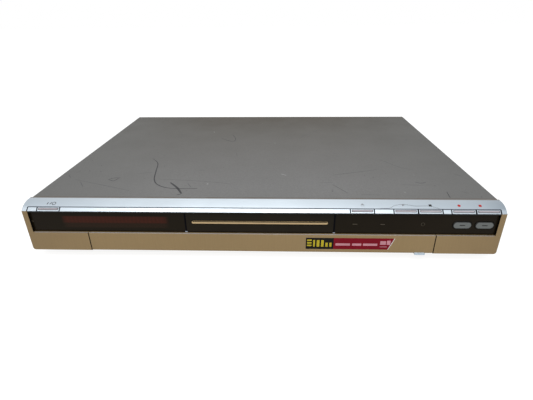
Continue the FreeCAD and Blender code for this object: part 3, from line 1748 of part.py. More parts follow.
def loader_frame():
    """The plastic frame in the drive: floor, walls, tray guides and the well for the traverse."""
    y = (drive_y + frame_front_gap, frame_back())
    across_frame = (-frame_half, frame_half)
    floor = block(across_frame, y, (frame_low, frame_low + frame_floor))
    wall = block((frame_half - frame_wall, frame_half), y, (frame_low, frame_top))
    rear = block(across_frame, (y[1] - frame_end, y[1]), (frame_low, frame_top))
    front = block(across_frame, (y[0], y[0] + frame_end), (frame_low, rack_low - frame_front_drop))
    ledge = block((tray_half - tray_rail, frame_half - over), (y[0], y[1] - frame_end),
                  (tray_low - fit - guide_thick, tray_low - fit))
    guide = block((tray_half - tray_rail + guide_reach, frame_half - over), (y[0], tray_back),
                  (tray_low + tray_plate - tray_step + fit, tray_low + tray_plate + guide_over))
    half = traverse_half + traverse_fit
    ends = (traverse_y - traverse_fit, traverse_back + traverse_fit)
    well = block((-half, half), ends, (frame_low - over, frame_top))
    rim = block((-half - well_rim, half + well_rim), (ends[0] - well_rim, ends[1] + well_rim),
                (frame_low, traverse_low + traverse_high + well_rim_rise))
    axles = [column(x, gear_y, (frame_low, gear_low + gear_thick - axle_spare), axle_radius)
             for x in (gear_x, pinion_x)]
    seats = [column(x, gear_y, (frame_low, z), axle_radius + seat_wide)
             for x, z in ((gear_x, gear_low - fit), (pinion_x, pulley_low - fit))]
    shelf_z = motor_shelf()
    shelf_y = (gear_y - shelf_span[0], gear_y + shelf_span[1])
    edge = motor_x + motor_radius
    shelf = block((motor_x - motor_radius, edge + shelf_foot), shelf_y, shelf_z)
    leg = block((edge, edge + shelf_foot), shelf_y, (frame_low, shelf_z[1]))
    shaft_hole = column(motor_x, gear_y, (shelf_z[0] - over, shelf_z[1] + over), shelf_hole)
    body = cut(join(floor, rim), well)
    body = join(body, *both(wall), rear, front, *both(ledge), *both(guide), *axles, *seats,
                cut(shelf, shaft_hole), leg)
    return body


def motor_shelf():
    low = pulley_low + pulley_thick + fit
    return (low, low + shelf_thick)


def loading_motor():
    """The small flat motor that works the tray, shaft down."""
    low = motor_shelf()[1]
    can = column(motor_x, gear_y, (low, low + motor_high), motor_radius)
    can = soften(can, motor_round, lambda e: near(e.BoundBox.ZMin, low + motor_high))
    shaft = column(motor_x, gear_y, (pulley_low + motor_shaft_gap, low), motor_shaft)
    return join(can, shaft)


def pulley(x, radius):
    """A grooved disc for the belt."""
    high = pulley_low + pulley_thick
    body = column(x, gear_y, (pulley_low, high), radius + pulley_rim)
    ring = cut(column(x, gear_y, (pulley_low + pulley_cheek, high - pulley_cheek),
                      radius + pulley_rim + over),
               column(x, gear_y, (pulley_low, high), radius))
    return cut(body, ring)


def motor_pulley():
    return cut(pulley(motor_x, small_pulley),
               column(motor_x, gear_y, (pulley_low - over, pulley_low + pulley_thick + over),
                      motor_shaft + axle_fit))


def gear_outline(x, y, teeth, turn):
    """Points of a gear with straight-sided teeth, one of them at the turn angle."""
    radius = module * teeth / 2
    step = 2 * math.pi / teeth
    points = []
    for k in range(teeth):
        for height, share in tooth():
            angle = turn + (k + share) * step
            points.append((x + (radius + height) * math.cos(angle), y + (radius + height) * math.sin(angle)))
    return points


def tooth():
    """One tooth: the height over the pitch line at each corner, and its place as a share of the pitch."""
    root = -tooth_root * module
    tip = tooth_tip * module
    return [(root, -tooth_foot_share), (tip, -tooth_tip_share), (tip, tooth_tip_share),
            (root, tooth_foot_share)]


def tray_gear():
    """The toothed wheel between the pulley's pinion and the rack."""
    body = plan(gear_outline(gear_x, gear_y, gear_teeth, 0), (gear_low, gear_low + gear_thick))
    return cut(body,
               column(gear_x, gear_y, (gear_low - over, gear_low + gear_thick + over),
                      axle_radius + axle_fit))


def pulley_gear():
    """The large pulley and the pinion above it, in one piece."""
    turn = math.pi / pinion_teeth
    teeth = plan(gear_outline(pinion_x, gear_y, pinion_teeth, turn), (gear_low, gear_low + gear_thick))
    neck = column(pinion_x, gear_y, (pulley_low + pulley_thick - sunk, gear_low + sunk),
                  pinion_radius - neck_inset)
    body = join(pulley(pinion_x, big_pulley), neck, teeth)
    return cut(body,
               column(pinion_x, gear_y, (pulley_low - over, gear_low + gear_thick + over),
                      axle_radius + axle_fit))


def drive_belt():
    """The square rubber belt round both pulleys."""
    z = (pulley_low + pulley_thick / 2 - belt / 2, pulley_low + pulley_thick / 2 + belt / 2)
    return cut(belt_slab(big_pulley + fit + belt, small_pulley + fit + belt, z),
               belt_slab(big_pulley + fit, small_pulley + fit, (z[0] - over, z[1] + over)))


def belt_slab(large, small, z):
    """The area inside a loop round two circles."""
    slope = math.asin((large - small) / belt_span)
    corners = []
    for x, radius in ((pinion_x, large), (motor_x, small)):
        corners.append((x + radius * math.sin(slope), gear_y + radius * math.cos(slope)))
    corners += [(x, 2 * gear_y - y) for x, y in reversed(corners)]
    return join(plan(corners, z), column(pinion_x, gear_y, z, large), column(motor_x, gear_y, z, small))


def clamp_bridge():
    """The steel bridge over the tray that holds the clamper in its round opening."""
    y = (spindle_y - bridge_half, spindle_y + bridge_half)
    plate = block((-frame_half, frame_half), y, (frame_top, frame_top + bridge_sheet))
    return cut(plate, column(0, spindle_y, (frame_top - over, frame_top + bridge_sheet + over),
                             clamper_neck + clamper_gap))


def clamper():
    """The disc clamper: a lower disc, a neck through the bridge and a rim that rests on it."""
    low = frame_top - fit - clamper_disc
    top = frame_top + bridge_sheet + fit
    disc = column(0, spindle_y, (low, frame_top - fit), clamper_rim - clamper_disc)
    neck = column(0, spindle_y, (low, top + sunk), clamper_neck)
    rim = column(0, spindle_y, (top, top + clamper_rim_thick), clamper_rim)
    dimple = column(0, spindle_y, (low - over, low + clamper_dimple_deep), clamper_dimple)
    return cut(join(disc, neck, rim), dimple)


def tray():
    """The disc tray: stepped recesses, side rails, a slot for the turntable and a rack below."""
    y = (tray_y, tray_back)
    z = (tray_low, tray_low + tray_plate)
    rail_x = (-tray_half, tray_half)
    body = block(rail_x, y, (z[0], z[1] - tray_step))
    rim = block((tray_rail - tray_half, tray_half - tray_rail),
                (y[0], spindle_y + disc_radius + tray_rim_back), (z[0], z[1] + tray_rim))
    rim = soften(rim, tray_round, lambda e: along(e, Vector(0, 0, 1)) and e.BoundBox.YMin > spindle_y)
    above = z[1] + tray_rim + over
    disc = column(0, spindle_y, (z[1], above), disc_radius)
    small = column(0, spindle_y, (z[1] - disc_step, above), small_disc_radius)
    through = (z[0] - over, above)
    slot = join(block((-slot_half, slot_half), (spindle_y, spindle_y + slot_long), through),
                column(0, spindle_y, through, slot_half))
    grips = both(column(tray_half - tray_rail, spindle_y, (z[1], above), grip_radius))
    upper = cut(join(body, rim), disc, small, slot, *grips)
    lug = block((tray_half - lug_span[1], tray_half - lug_span[0]), (tray_y, tray_y + lug_deep),
                (z[0] - lug_drop, z[0] + sunk))
    return join(upper, rack(), *both(lug))


def rack():
    """The toothed bar under the tray's left side, with a gap opposite the gear's tooth."""
    pitch = math.pi * module
    root = rack_x - tooth_root * module
    first = tray_y + rack_first
    last = tray_back - tray_tail
    points = [(root - rack_wide, first), (root, first)]
    k = -int((gear_y - first) / pitch)
    while gear_y + (k + 1) * pitch < last:
        points += [(rack_x + height, gear_y + (k + 0.5 + share) * pitch) for height, share in tooth()]
        k += 1
    points += [(root, last), (root - rack_wide, last)]
    return plan(points, (rack_low, tray_low + sunk))


def tray_front():
    """The tray's black front, with a recess for the bar and two lugs that hold the tray."""
    half = tray_front_wide / 2
    z = (tray_front_low, tray_front_low + tray_front_high)
    plate = block((-half, half), (window_y, tray_y), z)
    plate = soften(plate, front_round, lambda e: near(e.BoundBox.YMax, window_y))
    recess = pill((-bar_wide / 2 - bar_gap, bar_wide / 2 + bar_gap),
                  (bar_z - bar_high / 2 - bar_gap, bar_z + bar_high / 2 + bar_gap),
                  (window_y - over, window_y + bar_depth))
    return cut(plate, recess)


def tray_bar():
    """The gold bar let into the tray's front."""
    bar = pill((-bar_wide / 2, bar_wide / 2), (bar_z - bar_high / 2, bar_z + bar_high / 2),
               (window_y - bar_proud, window_y + bar_depth))
    return soften(bar, bar_round, lambda e: near(e.BoundBox.YMax, window_y - bar_proud))


def traverse():
    """The sledge frame that lifts the turntable and pickup, with both its motors."""
    x = traverse_half
    y = (traverse_y, traverse_back)
    z = (traverse_low, traverse_low + traverse_high)
    outer = block((-x, x), y, z)
    room = block((traverse_wall - x, x - traverse_wall), (y[0] + traverse_wall, y[1] - traverse_wall),
                 (z[0] - over, z[1] + over))
    deck = block((-x, x), (y[0], spindle_y + spindle_radius - deck_lap), (z[0], z[0] + deck_thick))
    motor = column(0, spindle_y, (z[0], z[1]), spindle_radius)
    motor = cut(motor, column(0, spindle_y, (z[0] + motor_floor, z[1] + over), axle_radius + axle_fit))
    feed = round_y(screw_place, (y[0] + sunk, y[0] + feed_long), rod_z, feed_radius)
    feed_end = y[0] + feed_long
    blocks = []
    for px in (-rod_place, rod_place):
        blocks.append(block((px - rod_block_half, px + rod_block_half),
                            (feed_end - rod_block[0], feed_end + rod_block[1]), (z[0], z[1] - over)))
    body = join(cut(outer, room), deck, motor, feed, *blocks)
    body = cut(body, round_y(screw_place, (feed_end - screw_inset[0] - sunk, y[1] - rod_inset), rod_z,
                             rod_radius + axle_fit))
    return cut(body, *[round_y(px, rod_span(), rod_z, rod_radius) for px in (-rod_place, rod_place)])


def rod_span():
    return (traverse_y + feed_long - rod_inset, traverse_back - rod_inset)


def guide_rods():
    return group(*[round_y(px, rod_span(), rod_z, rod_radius) for px in (-rod_place, rod_place)])


def lead_screw():
    """The feed screw, with rings in place of its thread."""
    span = (traverse_y + feed_long - screw_inset[0], traverse_back - screw_inset[1])
    body = round_y(screw_place, span, rod_z, rod_radius)
    rings = []
    first = traverse_y + feed_long + ring_first
    last = traverse_back - traverse_wall - ring_last
    for k in range(int((last - first) / thread_pitch)):
        y = first + k * thread_pitch
        rings.append(cut(round_y(screw_place, (y, y + ring_wide), rod_z, rod_radius + over),
                         round_y(screw_place, (y, y + ring_wide), rod_z, rod_radius - thread_depth)))
    return cut(body, *rings)


def pickup_y():
    near_edge = spindle_y + pickup_near
    return (near_edge, near_edge + pickup_deep)


def pickup():
    """The laser pickup on its rods, with its lens and a tongue at the lead screw."""
    y = pickup_y()
    z = (rod_z - pickup_low, rod_z + pickup_high)
    body = block((-pickup_half, pickup_half), y, z)
    arm = block((-rod_place - rod_block_half, rod_place + rod_block_half),
                (y[0] + arm_inset, y[1] - arm_inset),
                (rod_z - rod_block_half, rod_z + rod_block_half))
    lens_y = y[0] + lens_radius + lens_edge
    ring = column(0, lens_y, (z[1] - sunk, z[1] + lens_rise), lens_radius + lens_rim)
    ring = cut(ring, column(0, lens_y, (z[1] + lens_recess, z[1] + lens_rise + over), lens_radius))
    glass = column(0, lens_y, (z[1] + lens_glass[0], z[1] + lens_glass[1]), lens_radius - lens_fit)
    tongue = block((rod_place + rod_radius + sunk, screw_place - rod_radius - fit),
                   (y[0] + tongue_inset, y[1] - tongue_inset), (rod_z - tongue_half, rod_z + tongue_half))
    holes = [round_y(px, (y[0] - over, y[1] + over), rod_z, rod_radius + axle_fit)
             for px in (-rod_place, rod_place)]
    return cut(join(body, arm, ring, glass, tongue), *holes)


def turntable():
    """The turntable platform with its hub and its spindle."""
    top = platform_z + platform_thick
    disc = column(0, spindle_y, (platform_z, top), platform_radius)
    skirt = column(0, spindle_y, (traverse_low + traverse_high + fit, platform_z + sunk), skirt_radius)
    hub = column(0, spindle_y, (top - sunk, top + hub_high), hub_radius)
    hub = soften(hub, hub_round, lambda e: near(e.BoundBox.ZMin, top + hub_high))
    shaft = column(0, spindle_y, (traverse_low + shaft_low, platform_z), axle_radius)
    level = (top - pad_deep, top + over)
    pad = cut(column(0, spindle_y, level, platform_radius + over),
              column(0, spindle_y, level, platform_radius - pad_wide))
    return cut(join(disc, skirt, hub, shaft), pad)


def ribbon_cables():
    """Flat cables: drive to main board, hard disk to main board, power and key boards to main board."""
    found = []
    back = drive_y + drive_deep
    low = drive_low + drive_ribbon_low
    rise = main_top + drive_ribbon_rise
    out = back + drive_ribbon_out
    (_, y), (_, deep, high) = packages[drive_socket]
    end = main_y + y + deep / 2
    path = [(back, low), (out, low), (out, rise), (end, rise), (end, main_top + high)]
    found.append(flat_cable(path, (main_left + drive_ribbon_x[0], main_left + drive_ribbon_x[1])))
    start = hdd_y + hdd_long - hdd_ribbon_back
    low = hdd_low + hdd_ribbon_z
    rise = main_top + hdd_ribbon_rise
    out = main_y - hdd_ribbon_gap
    (_, y), (_, deep, high) = packages[hdd_socket]
    end = main_y + y + deep / 2
    path = [(start, low), (out, low), (out, rise), (end, rise), (end, main_top + high)]
    found.append(flat_cable(path, (hdd_x + hdd_ribbon_x[0], hdd_x + hdd_ribbon_x[1])))
    return group(*found)


def flat_cable(path, x):
    """A flat cable along (y, z) points with square folds, drawn out along X."""
    left = []
    right = []
    half = ribbon / 2
    for k, (y, z) in enumerate(path):
        before = path[k - 1] if k else None
        after = path[k + 1] if k + 1 < len(path) else None
        turns = [unit(a, b) for a, b in ((before, (y, z)), ((y, z), after)) if a and b]
        ny = sum(-t[1] for t in turns)
        nz = sum(t[0] for t in turns)
        if len(turns) == 1:
            ny, nz = -turns[0][1], turns[0][0]
        left.append((y + half * ny, z + half * nz))
        right.append((y - half * ny, z - half * nz))
    return profile(left + right[::-1], x)


def unit(start, end):
    length = math.hypot(end[0] - start[0], end[1] - start[1])
    return ((end[0] - start[0]) / length, (end[1] - start[1]) / length)


nodes = [top_cover, cover_screws, bottom_chassis, feet, inner_screws, rear_panel, top_trim, front_panel,
         display_window, control_window, front_flap, program_rocker, jack_board, front_jacks, key_boards,
         tact_switches, display_tube, ir_sensor_and_lamps, power_board, power_transformer, power_capacitors,
         power_heatsinks, ac_inlet, main_board, main_chips, tuner_modules, scart_sockets, rear_jacks,
         fan_frame, fan_rotor, hdd_bracket, hdd_base, hdd_lid, drive_case, drive_lid, loader_frame,
         loading_motor, motor_pulley, tray_gear, pulley_gear, drive_belt, clamp_bridge, clamper, tray,
         tray_front, tray_bar, traverse, guide_rods, lead_screw, pickup, turntable, ribbon_cables]

os.makedirs("parts", exist_ok=True)
for node in nodes:
    save(node.__name__, node())
for name in button_places():
    save(name, band_button(name))
save("select_button_left", select_button(0))
save("select_button_right", select_button(1))
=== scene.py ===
import bpy
import json
import math
import random
from mathutils import Matrix, Vector


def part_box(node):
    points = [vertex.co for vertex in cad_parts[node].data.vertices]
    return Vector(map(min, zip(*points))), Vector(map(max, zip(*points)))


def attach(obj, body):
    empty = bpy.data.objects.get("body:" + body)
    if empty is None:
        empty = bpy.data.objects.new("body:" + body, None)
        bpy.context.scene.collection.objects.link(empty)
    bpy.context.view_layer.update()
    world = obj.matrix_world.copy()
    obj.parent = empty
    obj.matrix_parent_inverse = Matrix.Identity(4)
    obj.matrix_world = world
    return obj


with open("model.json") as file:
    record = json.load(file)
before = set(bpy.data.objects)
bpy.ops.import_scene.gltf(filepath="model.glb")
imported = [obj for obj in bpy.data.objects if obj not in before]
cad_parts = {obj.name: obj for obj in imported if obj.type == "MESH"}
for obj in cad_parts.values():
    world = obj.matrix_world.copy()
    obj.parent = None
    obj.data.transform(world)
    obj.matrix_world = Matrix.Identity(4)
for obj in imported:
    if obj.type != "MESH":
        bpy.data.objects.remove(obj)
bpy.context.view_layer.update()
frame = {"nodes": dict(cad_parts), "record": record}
nodes = frame["nodes"]
scene = bpy.context.scene
scene.view_settings.view_transform = "Standard"
rng = random.Random(7)
MM = 0.001

# Places that the materials use, in metres: x across, y to the back and z up
HALF_WIDTH = 0.215
COVER_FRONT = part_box("top_cover")[0][1]
COVER_REAR = 0.158
TOP_EDGE = (0.0535, 0.0545)
NOSE_UPPER = (0.0515, 0.0530)
DISPLAY_X, DISPLAY_Z, BELOW_DISPLAY_Z = (-0.1795, -0.0845), (0.0366, 0.0434), (0.0318, 0.0366)
DISPLAY_CELL = 0.0036
PILL_SHADE_RIM, PILL_SOFT = 0.0017, 0.0002

# Places that the drawn pieces use, in millimetres; STRIP and LIP are angles on the nose
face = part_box("front_panel")[0][1] / MM
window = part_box("display_window")[0][1] / MM
cover_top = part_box("top_cover")[1][2] / MM
window_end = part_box("display_window")[0][0] / MM
bar_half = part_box("tray_bar")[1][0] / MM
bar_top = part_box("tray_bar")[1][2] / MM
front_sockets_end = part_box("front_jacks")[0][1] / MM
back_sockets_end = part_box("rear_jacks")[1][1] / MM
NOSE_Y, NOSE_Z, NOSE_R = -150.95, 37.4, 18.0
STRIP, LIP = 33.6, 47.0
FLAP_HALF, TRAY_HALF = 157.8, 67.3
FLAP_LOW, FLAP_HIGH = 8.6, 27.5
WINDOW_LOW, WINDOW_HIGH = 28.2, 48.0
LEDGE_LOW, LEDGE_HIGH = 27.25, 27.64
FRONT_SOCKETS, FRONT_SOCKET_Z = (-127.8, -113.8, -99.8), 17.6
BACK_SOCKETS, BACK_SOCKET_ROWS = (-38.0, -24.0, -10.0, 4.0), (27.0, 41.0)
SOCKET_R, SOCKET_RIM = 4.15, 0.8

# How far a drawn piece stands off its surface. The last three clear the proud ribs and the proud bar.
LIFT, LIFT_BAND, LIFT_SECOND, LIFT_THIRD, LIFT_GLINT = 0.03, 0.04, 0.05, 0.07, 0.08
LIFT_RIB_SHADE, LIFT_RIB, LIFT_BAR = 0.33, 0.36, 0.34


def linear(r, g, b):
    """A colour in 0 to 255 as linear light."""
    out = []
    for v in (r, g, b):
        v /= 255
        out.append(v / 12.92 if v <= 0.04045 else ((v + 0.055) / 1.055) ** 2.4)
    return (*out, 1.0)


# The shader's sockets, by the plain names that this script gives them
SOCKETS = {"shine": "Specular IOR Level", "metal": "Metallic", "coat": "Coat Weight"}


class Nodes:
    """A small builder for one node material in the part's own frame."""

    def __init__(self, name):
        self.mat = bpy.data.materials.new(name)
        self.mat.use_nodes = True
        self.tree = self.mat.node_tree
        self.tree.nodes.clear()
        self.out = self.add("ShaderNodeOutputMaterial")
        self.shader = self.add("ShaderNodeBsdfPrincipled")
        self.link(self.shader.outputs[0], self.out.inputs[0])
        self.coords = self.add("ShaderNodeTexCoord").outputs["Object"]
        split = self.add("ShaderNodeSeparateXYZ")
        self.link(self.coords, split.inputs[0])
        self.x, self.y, self.z = split.outputs

    def add(self, kind):
        return self.tree.nodes.new(kind)

    def link(self, a, b):
        self.tree.links.new(a, b)

    def put(self, value, socket):
        """A number or a colour is set on the socket, and anything else is linked to it."""
        if isinstance(value, (int, float, tuple)):
            socket.default_value = value
        else:
            self.link(value, socket)

    def maths(self, kind, a, b=0.0):
        n = self.add("ShaderNodeMath")
        n.operation = kind
        self.put(a, n.inputs[0])
        self.put(b, n.inputs[1])
        return n.outputs[0]

    def times(self, a, b):
        return self.maths("MULTIPLY", a, b)

    def noise(self, scale, detail=4.0, stretch=None, rough=0.55):
        coords = self.coords
        if stretch:
            move = self.add("ShaderNodeMapping")
            move.inputs["Scale"].default_value = stretch
            self.link(coords, move.inputs[0])
            coords = move.outputs[0]
        n = self.add("ShaderNodeTexNoise")
        n.inputs["Scale"].default_value = scale
        n.inputs["Detail"].default_value = detail
        n.inputs["Roughness"].default_value = rough
        self.link(coords, n.inputs["Vector"])
        return n.outputs[0]

    def cells(self, scale):
        """The distance to the nearest of many scattered points."""
        n = self.add("ShaderNodeTexVoronoi")
        n.inputs["Scale"].default_value = scale
        self.link(self.coords, n.inputs["Vector"])
        return n.outputs[0]

    def remap(self, value, low, high, to_low=0.0, to_high=1.0):
        n = self.add("ShaderNodeMapRange")
        n.inputs["From Min"].default_value = low
        n.inputs["From Max"].default_value = high
        n.inputs["To Min"].default_value = to_low
        n.inputs["To Max"].default_value = to_high
        self.link(value, n.inputs[0])
        return n.outputs[0]

    def mix(self, factor, a, b, kind="MIX"):
        n = self.add("ShaderNodeMix")
        n.data_type = "RGBA"
        n.blend_type = kind
        self.put(factor, n.inputs[0])
        self.put(a, n.inputs[6])
        self.put(b, n.inputs[7])
        return n.outputs[2]

    def over(self, base, factor, rgb):
        """A colour in 0 to 255 laid over the base, as far as the factor says."""
        return self.mix(factor, base, linear(*rgb))

    def span(self, axis, low, high, soft):
        """1 between two places along an axis, falling to 0 over a soft edge, in metres."""
        up = self.remap(axis, low - soft, low + soft)
        down = self.remap(axis, high - soft, high + soft, 1.0, 0.0)
        return self.times(up, down)

    def where(self, *tests):
        """1 where a place along an axis lies above or below each given limit, else 0."""
        hits = [self.maths(kind, axis, limit) for axis, kind, limit in tests]
        inside = hits[0]
        for hit in hits[1:]:
            inside = self.times(inside, hit)
        return inside

    def bump(self, height, strength, distance):
        n = self.add("ShaderNodeBump")
        n.inputs["Strength"].default_value = strength
        n.inputs["Distance"].default_value = distance
        self.link(height, n.inputs["Height"])
        return n

    def finish(self, rough, vary=0.06, scale=90.0, grain=None, strength=0.15, distance=0.00008,
               edge=0.00025):
        """Roughness that varies, fine bump, and softened edges."""
        field = self.noise(scale, 5.0, grain)
        self.link(self.remap(field, 0.3, 0.7, rough - vary, rough + vary), self.shader.inputs["Roughness"])
        b = self.bump(self.noise(scale * 12, 3.0, grain), strength, distance)
        bevel = self.add("ShaderNodeBevel")
        bevel.samples = 4
        bevel.inputs["Radius"].default_value = edge
        self.link(bevel.outputs[0], b.inputs["Normal"])
        self.link(b.outputs[0], self.shader.inputs["Normal"])
        return self.mat

    def look(self, colour, **settings):
        """The base colour, and plain numbers for the shader's own sockets by their names."""
        self.put(colour, self.shader.inputs["Base Color"])
        for name, value in settings.items():
            self.shader.inputs[SOCKETS[name]].default_value = value

    def mottled(self, base, amount, scale, grain=None):
        """The base colour, a little darker and lighter in soft patches."""
        dark = tuple(v * (1 - amount) for v in base[:3]) + (1.0,)
        light = tuple(min(1.0, v * (1 + amount)) for v in base[:3]) + (1.0,)
        return self.mix(self.remap(self.noise(scale, 6.0, grain), 0.3, 0.7), dark, light)


def plain(name, rgb, rough=0.5, metal=0.0, coat=0.0, amount=0.1, scale=60.0, grain=None, strength=0.12,
          shine=0.3):
    """One mottled colour with a fine bump, for most pieces and all inks."""
    n = Nodes(name)
    n.look(n.mottled(linear(*rgb), amount, scale, grain), shine=shine, metal=metal, coat=coat)
    return n.finish(rough, grain=grain, strength=strength)


def cover_paint():
    """Grey satin paint with fine grain, browner to the rear as real tone and partly as painted shade, darker
    to the sides as painted shade, soiled and rubbed.
    """
    browner_from, rear_dust_and_shade_from, side_shade_from = -0.12, 0.07, 0.08
    side_edge, front_edge, rear_edge = (0.2130, 0.2138), (-0.1440, -0.1455), (0.142, 0.157)
    n = Nodes("cover_paint")
    across = n.maths("ABSOLUTE", n.x)
    upper = n.remap(n.z, *TOP_EDGE)
    base = n.mottled(linear(119, 118, 117), 0.03, 9.0)
    fine = n.remap(n.noise(900, 2.0), 0.35, 0.65, 0.93, 1.07)
    shade = n.add("ShaderNodeCombineColor")
    for socket in shade.inputs[:3]:
        n.link(fine, socket)
    base = n.mix(1.0, base, shade.outputs[0], "MULTIPLY")
    # Browner and darker to the rear: partly the paint's real tone, partly painted shade.
    rear_tone_and_shade = n.remap(n.y, browner_from, COVER_REAR, 0.0, 1.0)
    base = n.over(base, rear_tone_and_shade, (80, 76, 68))
    # Brown dust to the rear, partly painted shade.
    rear_dust_and_shade = n.remap(n.y, rear_dust_and_shade_from, COVER_REAR, 0.0, 0.50)
    base = n.over(base, rear_dust_and_shade, (70, 62, 52))
    # Painted shade: darker towards both sides.
    cover_side_shade = n.remap(across, side_shade_from, HALF_WIDTH, 0.0, 0.65)
    base = n.over(base, cover_side_shade, (96, 96, 94))
    grime = n.remap(n.noise(260, 3.0), 0.68, 0.76, 0.0, 0.35)
    base = n.over(base, grime, (74, 68, 60))
    edge = n.times(n.remap(across, *side_edge, 0.0, 0.55), upper)
    base = n.over(base, edge, (60, 52, 46))
    lip = n.times(n.remap(n.y, *front_edge), n.remap(n.noise(80), 0.3, 0.6, 0.3, 1.0))
    base = n.over(base, lip, (96, 84, 70))
    rubbed = n.remap(n.noise(26, 8.0, (1.0, 0.35, 1.0), 0.7), 0.60, 0.72, 0.0, 0.12)
    base = n.over(base, rubbed, (92, 92, 92))
    pale = n.remap(n.noise(130, 3.0, (1.0, 0.5, 1.0), 0.6), 0.72, 0.80, 0.0, 0.25)
    base = n.over(base, pale, (168, 168, 166))
    far = n.times(n.times(n.remap(n.y, *rear_edge), n.remap(n.noise(60), 0.42, 0.6)), upper)
    base = n.over(base, n.times(far, 0.25), (88, 66, 48))
    n.look(base, shine=0.14)
    return n.finish(0.50, 0.04, 22.0, strength=0.22, distance=0.00006)


def silver_paint(name, rgb):
    """Metallic silver on the nose and its buttons, with painted shade darker off the middle and at the right
    end, and soiled along the cover.
    """
    brightest, side_shade_from, right_end_shade_from = -0.02, 0.04, 0.195
    soiled = (COVER_FRONT - 0.0026, COVER_FRONT - 0.0020)
    n = Nodes(name)
    above = n.remap(n.z, *NOSE_UPPER, 0.6, 1.0)
    base = n.mottled(linear(*rgb), 0.05, 24.0)
    # Painted highlight and shade: brightest near the middle, darker towards both ends.
    away = n.maths("ABSOLUTE", n.maths("SUBTRACT", n.x, brightest))
    nose_side_shade = n.times(n.remap(away, side_shade_from, HALF_WIDTH, 0.0, 0.80), above)
    base = n.over(base, nose_side_shade, (150, 161, 171))
    # Painted shade: darker still towards the right end.
    right_end_shade = n.times(n.remap(n.x, right_end_shade_from, HALF_WIDTH, 0.0, 0.45), above)
    base = n.over(base, right_end_shade, (110, 122, 134))
    specks = n.remap(n.noise(420, 3.0), 0.70, 0.80, 0.0, 0.35)
    base = n.over(base, specks, (150, 150, 148))
    joint = n.remap(n.y, *soiled, 0.0, 0.92)
    base = n.over(base, n.times(joint, n.remap(n.z, *TOP_EDGE)), (104, 98, 94))
    n.look(base, metal=0.45, coat=0.15)
    return n.finish(0.36, 0.05, 50.0, strength=0.08)


def gold_paint():
    """Gold metallic paint with a fine upright grain, painted shade in the window openings, dark behind the
    flap, and a pale tab.
    """
    behind_face, above_ledge, between_posts = -0.16405, 0.02762, 0.2103
    behind_flap, above_bottom, between_sides = -0.1613, 0.0086, 0.2147
    tab_face, browner_from = -0.16435, 0.15
    n = Nodes("gold_plastic")
    across = n.maths("ABSOLUTE", n.x)
    base = n.mottled(linear(149, 126, 89), 0.04, 7.0)
    lines = n.remap(n.noise(60, 2.0, (26.0, 26.0, 1.0)), 0.35, 0.65, 0.0, 0.16)
    base = n.over(base, lines, (122, 102, 73))
    spots = n.remap(n.noise(330, 3.0), 0.72, 0.80, 0.0, 0.5)
    base = n.over(base, spots, (92, 76, 56))
    base = n.over(base, n.remap(across, browner_from, HALF_WIDTH, 0.0, 0.45), (126, 106, 76))
    # Painted shade: the walls of the window openings, behind the face and above the ledge, nearly black.
    recess_shade = n.where((n.y, "GREATER_THAN", behind_face), (n.z, "GREATER_THAN", above_ledge),
                     (across, "LESS_THAN", between_posts))
    base = n.over(base, recess_shade, (16, 14, 12))
    inside = n.where((n.y, "GREATER_THAN", behind_flap), (across, "LESS_THAN", between_sides),
                     (n.z, "GREATER_THAN", above_bottom))
    base = n.over(base, inside, (30, 28, 26))
    base = n.over(base, n.where((n.y, "LESS_THAN", tab_face)), (196, 210, 222))
    n.look(base, metal=0.25, shine=0.3)
    return n.finish(0.42, 0.06, 70.0, strength=0.10)


def window_paint():
    """Smoked acrylic, with the unlit display's reddish field and its faint cells seen through it."""
    n = Nodes("window_acrylic")
    base = n.mottled(linear(30, 24, 15), 0.10, 30.0)
    wave = n.maths("SINE", n.times(n.x, 2 * math.pi / DISPLAY_CELL))
    across = n.span(n.x, *DISPLAY_X, 0.0024)
    field = n.times(across, n.span(n.z, *DISPLAY_Z, 0.0007))
    low = n.times(across, n.span(n.z, *BELOW_DISPLAY_Z, 0.0009))
    base = n.over(base, n.times(low, 0.5), (52, 36, 27))
    base = n.over(base, n.times(field, n.remap(wave, -0.6, 0.6, 0.84, 1.0)), (66, 32, 23))
    n.look(base, shine=0.06)
    return n.finish(0.16, 0.03, 80.0, strength=0.03, edge=0.0003)


def pill_paint(boxes):
    """Two pill buttons side by side: a grey face inside a dark rim of painted shade, by the distance to each
    spine.
    """
    n = Nodes("pill_paint")
    low = [min(b[0][k] for b in boxes) for k in range(3)]
    high = [max(b[1][k] for b in boxes) for k in range(3)]
    middle, height = (low[0] + high[0]) / 2, (low[2] + high[2]) / 2
    wide, tall = boxes[0][1][0] - boxes[0][0][0], high[2] - low[2]
    apart = (high[0] - low[0] - wide) / 2
    side = n.maths("ABSOLUTE", n.maths("SUBTRACT", n.x, middle))
    side = n.maths("ABSOLUTE", n.maths("SUBTRACT", side, apart))
    side = n.maths("MAXIMUM", n.maths("SUBTRACT", side, (wide - tall) / 2), 0.0)
    rise = n.maths("SUBTRACT", n.z, height)
    far = n.maths("SQRT", n.maths("ADD", n.times(side, side), n.times(rise, rise)))
    inner = tall / 2 - PILL_SHADE_RIM
    # Painted shade: a dark rim round each face, the shadow of the hole it sits in.
    shade_rim = n.remap(far, inner - PILL_SOFT, inner + PILL_SOFT)
    n.look(n.over(n.mottled(linear(104, 107, 106), 0.08, 60.0), shade_rim, (29, 28, 27)), metal=0.1, shine=0.3)
    return n.finish(0.40, strength=0.12)


def board(name, rgb, line):
    """A circuit board with pale tracks and small solder points."""
    n = Nodes(name)
    tracks = n.remap(n.noise(140, 1.0, (1.0, 4.0, 1.0)), 0.52, 0.56, 0.0, 0.55)
    base = n.over(n.mottled(linear(*rgb), 0.10, 40.0), tracks, line)
    solder = n.remap(n.cells(300), 0.10, 0.16, 0.8, 0.0)
    n.look(n.over(base, solder, (170, 172, 170)))
    return n.finish(0.38, strength=0.2)


